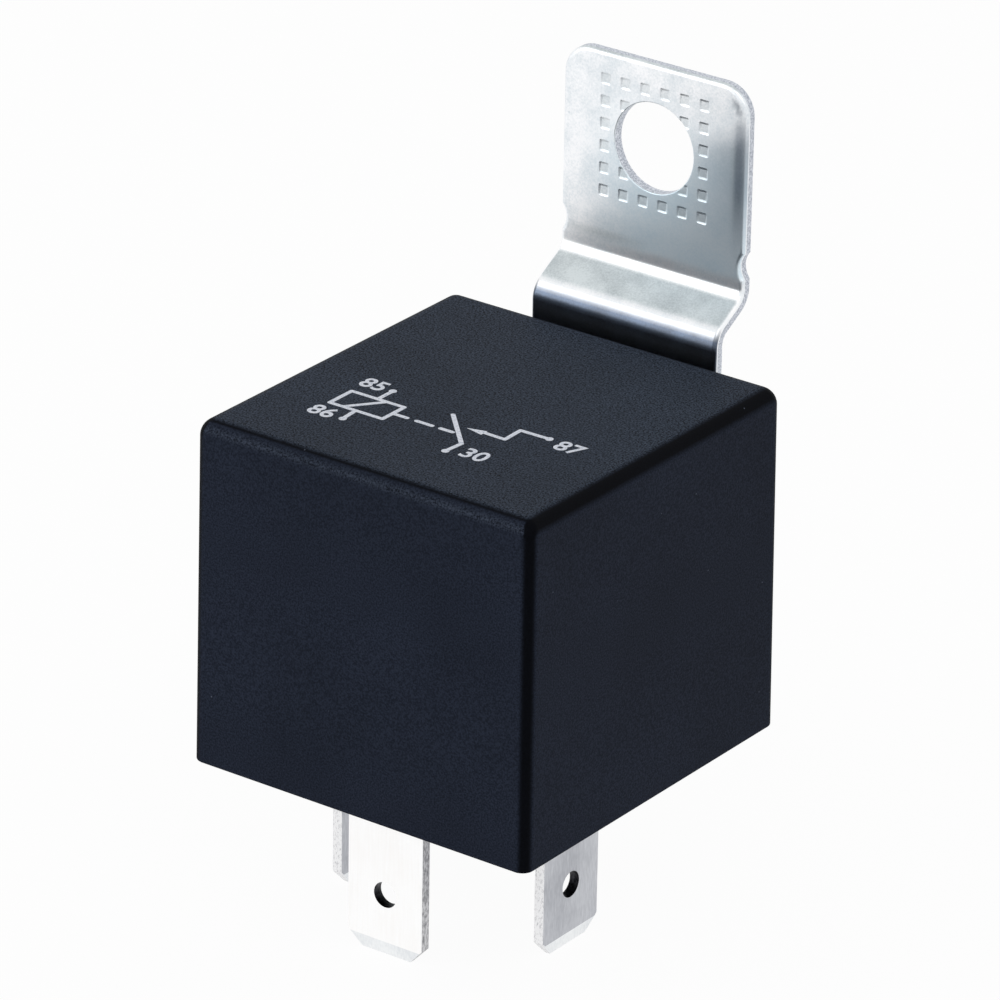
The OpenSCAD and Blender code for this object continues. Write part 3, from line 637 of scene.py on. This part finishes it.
# Painted dark reflection on the rounded edges, and a painted sheen on the front one
paint(shell, "darkEdgeReflection", outside * fade(turned, marksAndShade["darkEdgeTurn"]) * notSheen)
paint(shell, "edgeSheen", outside * onFrontEdge * fade(np.abs(lean - marksAndShade["sheenHeight"]), marksAndShade["sheenFade"]))
cover = addPiece("cover_shell", shell, "housing", "cover_plastic", coverPlastic)
shell.shade_smooth()
shell.set_sharp_from_angle(angle=math.radians(35))
holdFlats(cover)
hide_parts("cover")
print("cover made:", len(shell.polygons), "faces")

# The steel strip: an upright shank in the sleeve, a step back over the cover's edge, and the tab
bracket = {"thickness": 0.85, "shankWidth": 15.6, "tabWidth": 15.4, "front": 15.3, "foot": 6.4,
           "shankTop": 26.0, "stepAngle": 60, "stepBack": 3.25, "lowRadius": 1.1, "highRadius": 1.0,
           "cornerRadius": 2.2, "holeDiameter": 6.6, "holeDrop": 6.1, "notchRadius": 1.5,
           "notchDepth": 0.35, "notchUp": 1.6,
           "roll": 0.3, "holeRoll": 0.07, "dents": 6, "dentSize": 0.88, "dentPitch": 1.65, "dentDepth": 0.036,
           "dentSlope": 0.16, "dentCorner": 0.15, "tongueWidth": 3.2, "tongueLength": 4, "tongueGap": 0.7,
           "tongueRadius": 0.5, "tongueAngle": 11, "tongueFoot": 3.6, "tongueSlot": 0.4, "tongueRoll": 0.04,
           "dentClear": 0.2, "paintColumns": 0.3, "paintRows": 0.45, "rowsUp": 0.3,
           "streakRows": (0.6, 0.85, 1.1, 1.35, 1.6)}


def makeDents(holeCentre):  # six by six punch marks round the hole, which cuts the inner ones away
    b = bracket
    half, corner = b["dentSize"] / 2, b["dentCorner"]
    steps = (np.arange(b["dents"]) - (b["dents"] - 1) / 2) * b["dentPitch"]
    cutAway = b["holeDiameter"] / 2 - 0.1
    centres = [(x, holeCentre + s) for x in steps for s in steps if math.hypot(x, s) > cutAway]
    loops = []
    for cx, cs in centres:
        for offset in (0, b["dentSlope"] / 2, b["dentSlope"]):
            straight, turn = half - max(corner, offset), max(corner - offset, 0)
            loop = []
            for i, (sx, sy) in enumerate(quarters):
                if turn:
                    loop += arc(cx + sx * straight, cs + sy * straight, turn, 90 * i, 90 * i + 90, 3)
                else:
                    loop.append((cx + sx * straight, cs + sy * straight))
            loops.append(loop)

    def depthAt(flat):
        depth = np.zeros(len(flat))
        for cx, cs in centres:
            q = np.abs(flat - (cx, cs)) - (half - corner)
            outside = np.linalg.norm(np.maximum(q, 0), axis=1) + np.minimum(q.max(1), 0) - corner
            depth = np.maximum(depth, b["dentDepth"] * np.clip(-outside / b["dentSlope"], 0, 1))
        return depth

    return loops, depthAt


def makeBracket():
    b = bracket
    t, bend = b["thickness"], math.radians(b["stepAngle"])
    radii = b["lowRadius"] + t + b["highRadius"]
    slope = (b["stepBack"] - (1 - math.cos(bend)) * radii) / math.sin(bend)
    tabFoot = b["shankTop"] + math.sin(bend) * radii + math.cos(bend) * slope
    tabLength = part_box("mounting_bracket")[1].z / mm - tabFoot
    chain = [b["shankTop"] - b["foot"], (b["lowRadius"], -b["stepAngle"]), slope,
             (b["highRadius"], b["stepAngle"]), tabLength]
    lengths = bendLengths(chain, t)
    low, tab, top = sum(lengths[:1]), sum(lengths[:4]), sum(lengths)
    w, r, n = b["tabWidth"] / 2, b["cornerRadius"], b["notchRadius"]
    notch = math.degrees(math.acos((n - b["notchDepth"]) / n))
    right = [(b["shankWidth"] / 2, 0), (b["shankWidth"] / 2, low), (w, low + lengths[1])]
    right += arc(w + n - b["notchDepth"], tab + b["notchUp"], n, 180 + notch, 180 - notch, 10)
    right += arc(w - r, top - r, r, 0, 90, 18)
    outline = right + [(-x, s) for x, s in reversed(right)]
    slot, foot = b["tongueWidth"] / 2 + b["tongueSlot"], b["tongueFoot"]
    slotEnd = foot + b["tongueLength"]
    tongueSlot = [(-slot, foot), (-slot, slotEnd), (slot, slotEnd), (slot, foot)]
    # Lines between the dents, and closer ones beside the right edge and above the bend, where the
    # paint below needs them
    centre, pitch = top - b["holeDrop"], b["dentPitch"]
    dentEdge = (b["dents"] - 1) / 2 * pitch + b["dentSize"] / 2 + b["dentClear"]
    lines = [((k * pitch, tab), (k * pitch, top)) for k in range(-4, 5)]
    lines += [((-w, centre + k * pitch), (w, centre + k * pitch)) for k in range(-5, 4)]
    lines += [((x, tab), (x, top)) for x in np.arange(dentEdge, w - b["roll"], b["paintColumns"])]
    lines += [((dentEdge, s), (w, s)) for s in np.arange(tab + b["rowsUp"], top, b["paintRows"])]
    lines += [((-w, tab + up), (w, tab + up)) for up in b["streakRows"]]
    strip = bentStrip("strip", outline, [circle(0, centre, b["holeDiameter"] / 2, 120), tongueSlot], t, chain,
                      (b["front"], b["foot"]), roll=b["roll"], holeRoll=b["holeRoll"],
                      dents=makeDents(centre), lines=lines)
    half, springy = b["tongueWidth"] / 2, (b["tongueRadius"], b["tongueAngle"])
    tongueChain = [springy, b["tongueLength"] - b["tongueGap"]]
    end = sum(bendLengths(tongueChain, t))
    tongue = bentStrip("tongue", [(half, 0), (half, end), (-half, end), (-half, 0)], [], t, tongueChain,
                       (b["front"] + t, b["foot"] + foot + b["tongueLength"]), heading=180,
                       roll=b["tongueRoll"])
    return joinMeshes("mounting strip", strip, tongue)


# Where the strip is painted: a drawn finish, a streak, painted shade and a painted dark reflection. A
# pair gives the ends of a fade. Height and From are heights, Below and End go down from the tab's top,
# In goes in from its right edge, Fade goes away from the mark's middle line, and Left, Side and Across
# are places along X. Leans are the normal's parts.
stripShadeAndMarks = {
    "stepShadeLean": (0.7, 0.85), "frontLean": 0.2, "drawnHeight": (29.9, 29.1),
    "soft": 0.46, "softIn": (6, 0), "softBelow": (2, 4), "softSlant": 0.45, "softEnd": (13, 7),
    "softLeast": 0.05, "band": 0.3, "bandIn": 0.65, "bandFade": (0.56, 0.21), "bandBelow": (2, 2.8),
    "bandEnd": (12, 8), "bandLeast": 0.1,
    "corner": 0.6, "cornerIn": 0.62, "cornerFade": (0.256, 0.096), "cornerBelow": (0.8, 1.3),
    "cornerEnd": (2.3, 1.8), "cornerReach": 2, "markedFrom": (30, 32),
    "foot": 0.9, "footHeight": (27.5, 26.7), "footFrom": 24,
    "dent": 0.35, "dentsFrom": 32, "dentsReach": 5, "dentFloor": (0.01, 0.1),
    "streak": 0.6, "streakHeight": 30.7, "streakFade": (0.455, 0.105), "streakLeft": (-0.5, -3.5),
    "streakSide": (7.4, 6.2), "streakLean": 0.5,
    "blueShadeBelow": (2, 7), "blueShadeAcross": (-6, -1), "blueShadeHeight": (29.9, 30.5),
}
stripMesh, marksAndShade = makeBracket(), stripShadeAndMarks
places = np.array([v.co for v in stripMesh.vertices]) / mm
facing = np.array([v.normal for v in stripMesh.vertices])
x, depth, height = places.T
# Painted shade: faces of the step, which lean upwards, take a darker grey speckle
shadeAndStreak = fade(facing[:, 2], marksAndShade["stepShadeLean"])
paint(stripMesh, "drawn", fade(height, marksAndShade["drawnHeight"]) * (1 - shadeAndStreak))

# Painted dark reflection on the tab: soft inwards from its right edge, more in a band beside the edge,
# and most round the corner. The shank's top is painted dark right across, a painted dark reflection.
across, below = bracket["tabWidth"] / 2 - x, height.max() - height
softly = marksAndShade["soft"] * fade(across, marksAndShade["softIn"])
softly *= fade(below - marksAndShade["softSlant"] * across, marksAndShade["softBelow"])
softly *= np.maximum(fade(below, marksAndShade["softEnd"]), marksAndShade["softLeast"])
band = marksAndShade["band"] * fade(abs(across - marksAndShade["bandIn"]), marksAndShade["bandFade"]) * fade(below, marksAndShade["bandBelow"])
band *= np.maximum(fade(below, marksAndShade["bandEnd"]), marksAndShade["bandLeast"])
turn = np.hypot(*(np.minimum(v - bracket["cornerRadius"], 0) for v in (across, below)))
fromRound = abs(bracket["cornerRadius"] - turn - marksAndShade["cornerIn"])
corner = marksAndShade["corner"] * fade(fromRound, marksAndShade["cornerFade"]) * (turn > 0) * (across < marksAndShade["cornerReach"])
corner *= fade(below, marksAndShade["cornerBelow"]) * fade(below, marksAndShade["cornerEnd"])
darkReflection = np.maximum(softly + band, corner) * fade(height, marksAndShade["markedFrom"])
foot = marksAndShade["foot"] * fade(height, marksAndShade["footHeight"]) * (height > marksAndShade["footFrom"])
frontSide = facing[:, 1] < -marksAndShade["frontLean"]
paint(stripMesh, "darkReflection", np.maximum(darkReflection, foot) * frontSide)

# The dents' floors are painted darker too, a painted shade, and a darker streak lies above the bend at the
# left
fromFace = depth - bracket["front"] - bracket["stepBack"]
dented = (height > marksAndShade["dentsFrom"]) & (abs(x) < marksAndShade["dentsReach"])
dented &= (fromFace > marksAndShade["dentFloor"][0]) & (fromFace < marksAndShade["dentFloor"][1])
streak = marksAndShade["streak"] * fade(abs(height - marksAndShade["streakHeight"]), marksAndShade["streakFade"])
streak *= fade(x, marksAndShade["streakLeft"]) * fade(abs(x), marksAndShade["streakSide"]) * (facing[:, 1] < -marksAndShade["streakLean"])
paint(stripMesh, "shadeAndStreak", np.maximum(shadeAndStreak, np.maximum(marksAndShade["dent"] * dented, streak)))
# Painted shade: the tab turns a darker blue towards its lower right
blueShade = fade(below, marksAndShade["blueShadeBelow"]) * fade(x, marksAndShade["blueShadeAcross"]) * fade(height, marksAndShade["blueShadeHeight"])
paint(stripMesh, "blueShade", blueShade * frontSide)
strip = addPiece("mounting_strip", stripMesh, "housing", "zinc_plated_steel", zincSteel, zincEdge)
holdFlats(strip)
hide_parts("mounting_bracket")
print("bracket made:", len(stripMesh.polygons), "faces")

# The blades: the terminals again with broken edges. Each faces its axis: 0 is X and 1 is Y.
# The tip's coined bevels start below bevelTop, and each bore lies on its blade's own centre line.
bladeSizes = {"edge": 0.06, "sharp": 40, "bevelTop": -10.8, "bevelLean": (0.5, 0.997), "bore": 2.2,
              "boreZ": -7.3,
              "axis": {"terminal_87": 1, "terminal_30": 0, "terminal_85": 0, "terminal_86": 0},
              "centres": {"terminal_87": 0, "terminal_30": 6.5, "terminal_85": -2.2, "terminal_86": -2.2}}


def makeBlade(node, axis):
    b = bladeSizes
    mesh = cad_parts[node].data.copy()
    mesh.name = node + " blade"
    mesh.materials.clear()
    bm = bmesh.new()
    bm.from_mesh(mesh)
    bmesh.ops.remove_doubles(bm, verts=bm.verts, dist=0.0005 * mm)
    bmesh.ops.dissolve_limit(bm, verts=bm.verts, edges=bm.edges, angle_limit=math.radians(1))
    sharpAngle = math.radians(b["sharp"])
    sharp = [e for e in bm.edges if len(e.link_faces) == 2 and e.calc_face_angle(0) > sharpAngle]
    bmesh.ops.bevel(bm, geom=sharp, offset=b["edge"] * mm, offset_type="OFFSET", segments=2,
                    profile=0.5, affect="EDGES", clamp_overlap=True, material=-1)
    side, centre = 1 - axis, b["centres"][node] * mm
    flank, flat = b["bevelLean"]
    for face in bm.faces:
        across, middle = abs(face.normal[axis]), face.calc_center_median()
        face.material_index = 1 if across < flank else 0
        # Index 2 is the tips' greyer tone and index 3 the bores' dark tone: painted shade
        if flank < across < flat and middle.z < b["bevelTop"] * mm:
            face.material_index = 2
        fromBore = math.hypot(middle[side] - centre, middle.z - b["boreZ"] * mm)
        if across < flank and fromBore < b["bore"] / 2 * mm:
            face.material_index = 3
    bm.to_mesh(mesh)
    bm.free()
    mesh.shade_smooth()
    mesh.set_sharp_from_angle(angle=math.radians(50))
    return mesh


for node, axis in bladeSizes["axis"].items():
    # Blade 87 keeps the white tin with darker edges; the others are painted greyer with lighter edges:
    # painted shade and light
    face, edge = (tinnedBrass, shadedTinEdge) if axis == 1 else (shadedTin, tinnedEdge)
    blade = addPiece(node + "_blade", makeBlade(node, axis), "housing", "tinned_brass",
                     face, edge, tipShadeTin, shadedBore)
    holdFlats(blade)
    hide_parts(node)
print("blades made:", len(bladeSizes["axis"]))

# The contact spring: a strip with one bend and holes for its rivets. Lengths along the front part are
# measured from the end of the bend.
springSizes = {"thickness": 0.3, "width": 8, "flat": 8.044, "radius": 0.6, "angle": 86, "wideTo": 10.23,
               "tipWidth": 4.4, "taperTo": 12.23, "tip": 18.33, "holeDiameter": 1.56,
               "holes": (2.65, 6.45, 16.23), "bendFrom": (0, 8.15, 16.5), "bendTo": (0, 7.4, 20.2),
               "rowsFrom": 4.2, "rowSpacing": 0.4, "rowReach": 9, "roll": 0.05, "holeRoll": 0.03,
               "burr": 0.02}


def makeSpring():
    p = springSizes
    low, high = (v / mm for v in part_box("contact_spring"))
    chain = [p["flat"], (p["radius"], p["angle"]), p["tip"]]
    ahead = sum(bendLengths(chain, p["thickness"])[:2])
    w, tipW = p["width"] / 2, p["tipWidth"] / 2
    right = [(w, 0), (w, ahead + p["wideTo"]), (tipW, ahead + p["taperTo"]), (tipW, ahead + p["tip"])]
    outline = right + [(-x, s) for x, s in reversed(right)]
    holes = [circle(0, ahead + s, p["holeDiameter"] / 2, 40) for s in p["holes"]]
    for node in ("yoke_rivet_left", "yoke_rivet_right"):
        a, b = (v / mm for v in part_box(node))
        holes.append(circle((a.x + b.x) / 2, (a.z + b.z) / 2 - low.z, p["holeDiameter"] / 2, 40))
    # Rows of lines across the flat behind the yoke
    rows, reach = np.arange(p["rowsFrom"], p["flat"], p["rowSpacing"]), p["rowReach"]
    return bentStrip("contact spring", outline, holes, p["thickness"], chain,
                     (high.y - p["thickness"], low.z), roll=p["roll"], holeRoll=p["holeRoll"], burr=p["burr"],
                     lines=[((-reach, s), (reach, s)) for s in rows])


spring = addPiece("bent_contact_spring", makeSpring(), None, "spring_bronze", springBronze, springBronze)
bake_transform(spring)
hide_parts("contact_spring")
print("contact spring made:", len(spring.data.polygons), "faces")

# Circuit printed on the cover's top: the coil, the contact arm and the numbers of the four blades.
# Strokes are lists of X, Y points; only plain lines, dots, an arrow head and numbers are printed.
circuit = {"line": 0.33, "dot": 0.56, "film": 0.02, "numeral": 1.5, "weight": 0.018,
           "strokes": [[(-8.45, -6.8), (-4.0, -6.8), (-4.0, -4.35), (-8.45, -4.35), (-8.45, -6.8)],
                       [(-7.35, -6.8), (-5.45, -4.35)],
                       [(-6.25, -4.35), (-6.25, -2.66)], [(-6.25, -6.8), (-6.13, -8.4)],
                       [(-3.95, -5.65), (-2.8, -5.65)], [(-2.0, -5.65), (-0.7, -5.65)],
                       [(0, -5.65), (1.0, -5.65)],
                       [(-0.7, -3.3), (2.6, -6.8), (2.45, -8.4)],
                       [(2.6, -4.4), (4.45, -4.45), (4.4, -2.6), (6.75, -2.55)]],
           "arrow": [(1.35, -4.5), (2.75, -4.1), (2.75, -4.8)],
           "dots": [(-6.25, -2.66), (-6.13, -8.4), (2.45, -8.4), (6.75, -2.55)],
           "numerals": {"85": (-7.9, -2.6), "86": (-7.95, -8.3), "30": (4.4, -7.8), "87": (8.65, -3.0)}}


def capsule(start, end, width):
    heading = math.degrees(math.atan2(end[1] - start[1], end[0] - start[0]))
    return (arc(end[0], end[1], width / 2, heading - 90, heading + 90, 8)
            + arc(start[0], start[1], width / 2, heading + 90, heading + 270, 8))


fontHeight = 0.73  # of the font's numerals, in parts of its size


def numeralMesh(text, height, thickness, weight, place, below=False):
    # Blender's own font, cut to the height of its numerals; below turns it to be read from beneath
    curve = bpy.data.curves.new("numeral", "FONT")
    curve.body, curve.offset, curve.resolution_u = text, weight, 6
    curve.align_x, curve.align_y = "CENTER", "CENTER"
    scale = height / fontHeight
    curve.extrude = thickness / 2 / scale
    holder = bpy.data.objects.new("numeral", curve)
    bpy.context.scene.collection.objects.link(holder)
    mesh = settled(holder)
    bpy.data.objects.remove(holder)
    turn = Matrix.Rotation(math.pi, 4, "X") if below else Matrix.Identity(4)
    lift = -thickness / 2 if below else thickness / 2
    mesh.transform(Matrix.Translation((place[0] * mm, place[1] * mm, (place[2] + lift) * mm))
                   @ turn @ Matrix.Scale(scale * mm, 4))
    bm = bmesh.new()
    bm.from_mesh(mesh)
    bmesh.ops.remove_doubles(bm, verts=bm.verts, dist=0.0002 * mm)
    bm.to_mesh(mesh)
    bm.free()
    return mesh


def makePrint():
    c = circuit
    shapes = [capsule(a, b, c["line"]) for stroke in c["strokes"] for a, b in zip(stroke, stroke[1:])]
    shapes += [circle(x, y, c["dot"] / 2, 24) for x, y in c["dots"]] + [c["arrow"]]

    def keep(middles):
        return np.any([insideLoop(middles, shape) for shape in shapes], axis=0)

    flat, faces = triangulate(shapes, [], keep)
    bm = bmesh.new()
    top = [(x, y, coverTop + c["film"]) for x, y in flat]
    thicken(bm, flat, faces, top, [(x, y, coverTop - c["film"]) for x, y in flat])
    lines = finishMesh(bm, "circuit")
    numerals = [numeralMesh(text, c["numeral"], 2 * c["film"], c["weight"], (x, y, coverTop - c["film"]))
                for text, (x, y) in c["numerals"].items()]
    return joinMeshes("printed circuit", lines, *numerals)


addPiece("printed_circuit", makePrint(), "housing", "cover_plastic", printInk, printInk)

# Blade numbers moulded on the base's underside, each beside its own blade
underside = {"height": 1.7, "relief": 0.15, "weight": 0.01,
             "places": {"87": (0, -8.6), "30": (2.5, 6.5), "85": (5.8, -2.2), "86": (-5.8, -2.2)}}
numbers = [numeralMesh(text, underside["height"], underside["relief"], underside["weight"],
                       (x, y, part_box("base")[0].z / mm), below=True)
           for text, (x, y) in underside["places"].items()]
addPiece("base_numbers", joinMeshes("base numbers", *numbers), "housing", "base_plastic", basePlastic)
print("print and numbers made")

# These CAD solids keep their shape
innerFinishes = {
    "base": basePlastic, "yoke": softIron, "core": rivetSteel, "armature": softIron, "rest_stop": softIron,
    "bobbin": bobbinNylon, "coil_winding": enamelledCopper, "coil_lead_85": enamelledCopper,
    "coil_lead_86": enamelledCopper, "solder_85": solderTin, "solder_86": solderTin,
    "moving_contact": silverContact, "fixed_contact": silverContact,
    "terminal_rivet": rivetSteel, "yoke_rivet_left": rivetBrass, "yoke_rivet_right": rivetBrass,
    "armature_rivet_front": rivetBrass, "armature_rivet_rear": rivetBrass,
}
for node, material in innerFinishes.items():
    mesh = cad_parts[node].data
    mesh.materials.clear()
    mesh.materials.append(material)
print("inner parts finished:", len(innerFinishes))

# Camera
cameraPlace = {"azimuth": 35.911, "elevation": 24.412, "roll": 0.968, "distance": 498.557,
               "target": (0.918, 0, 18.491), "lens": 264.9, "sensor": 36, "clip": (0.01, 20)}
az, el, roll = (math.radians(cameraPlace[k]) for k in ("azimuth", "elevation", "roll"))
back = Vector((math.sin(az) * math.cos(el), -math.cos(az) * math.cos(el), math.sin(el)))
right = (-back).cross(Vector((0, 0, 1))).normalized()
up = right.cross(-back)
tilted = right * math.cos(roll) + up * math.sin(roll)
upright = up * math.cos(roll) - right * math.sin(roll)
camera = bpy.data.objects.new("camera", bpy.data.cameras.new("camera"))
camera.data.lens = cameraPlace["lens"]
camera.data.sensor_width = cameraPlace["sensor"]
camera.data.clip_start, camera.data.clip_end = cameraPlace["clip"]  # metres
place = (Vector(cameraPlace["target"]) + back * cameraPlace["distance"]) * mm
camera.matrix_world = Matrix.Translation(place) @ Matrix((tilted, upright, back)).transposed().to_4x4()
bpy.context.scene.collection.objects.link(camera)
bpy.context.scene.camera = camera

# White paper under the part and white all round it: both are seen and mirrored at full white, light
# the part more softly than that, and the paper keeps a faint shadow
studio = {"floorSize": 6, "floorColour": "#fafafa", "shadowKept": 0.04, "ambient": 0.53}


def seenRays(tree):  # 1 where the camera, a mirror or glass looks, and 0 for the light on the object
    rays = addNode(tree, "ShaderNodeLightPath")
    seen = rays.outputs["Is Camera Ray"]
    for kind in ("Is Glossy Ray", "Is Transmission Ray"):
        seen = addMath(tree, seen, rays.outputs[kind], "MAXIMUM")
    return seen


bm = bmesh.new()
bmesh.ops.create_grid(bm, x_segments=1, y_segments=1, size=studio["floorSize"] / 2)
floorMesh = bpy.data.meshes.new("floor")
bm.to_mesh(floorMesh)
bm.free()
floor = bpy.data.objects.new("floor", floorMesh)
floor.location.z = cadLow.z
bpy.context.scene.collection.objects.link(floor)
paper = bpy.data.materials.new("white_paper_sweep")
paper.use_nodes = True
tree = paper.node_tree
tree.nodes.clear()
share = addMath(tree, seenRays(tree), 1 - studio["shadowKept"], "MULTIPLY")
matt = addNode(tree, "ShaderNodeBsdfDiffuse", {"Color": toLinear(studio["floorColour"])})
white = addNode(tree, "ShaderNodeEmission", {"Strength": 1})
mixed = addNode(tree, "ShaderNodeMixShader", {0: share, 1: matt.outputs[0], 2: white.outputs[0]})
addNode(tree, "ShaderNodeOutputMaterial", {"Surface": mixed.outputs[0]})
floorMesh.materials.append(paper)

world = bpy.data.worlds.new("studio")
bpy.context.scene.world = world
world.use_nodes = True
tree = world.node_tree
tree.nodes.clear()
level = addRange(tree, seenRays(tree), (0, 1), (studio["ambient"], 1))
sky = addNode(tree, "ShaderNodeBackground", {"Color": (1, 1, 1, 1), "Strength": level})
addNode(tree, "ShaderNodeOutputWorld", {"Surface": sky.outputs[0]})

# Soft boxes: place and size in metres, radiance as seen in a mirror. They look at the cover's middle.
lampAim = Vector((0, 0, 0.015))
lamps = {
    "high_left_box": {"place": (-0.26, -0.34, 0.3), "size": 0.16, "radiance": 3},
    "low_left_box": {"place": (-0.36, -0.46, 0.11), "size": 0.2, "radiance": 3},
    "high_right_box": {"place": (0.25, -0.3, 0.45), "size": 0.3, "radiance": 1.1},
}
for name, lamp in lamps.items():
    light = bpy.data.lights.new(name, "AREA")
    light.size = lamp["size"]
    light.energy = lamp["radiance"] * math.pi * lamp["size"] ** 2
    box = bpy.data.objects.new(name, light)
    box.location = lamp["place"]
    aim = lampAim - box.location
    box.rotation_mode = "QUATERNION"
    box.rotation_quaternion = aim.to_track_quat("-Z", "Y")
    bpy.context.scene.collection.objects.link(box)
bpy.context.scene.view_settings.view_transform = "Standard"
print("studio set:", len(lamps), "soft boxes")

bpy.context.view_layer.update()
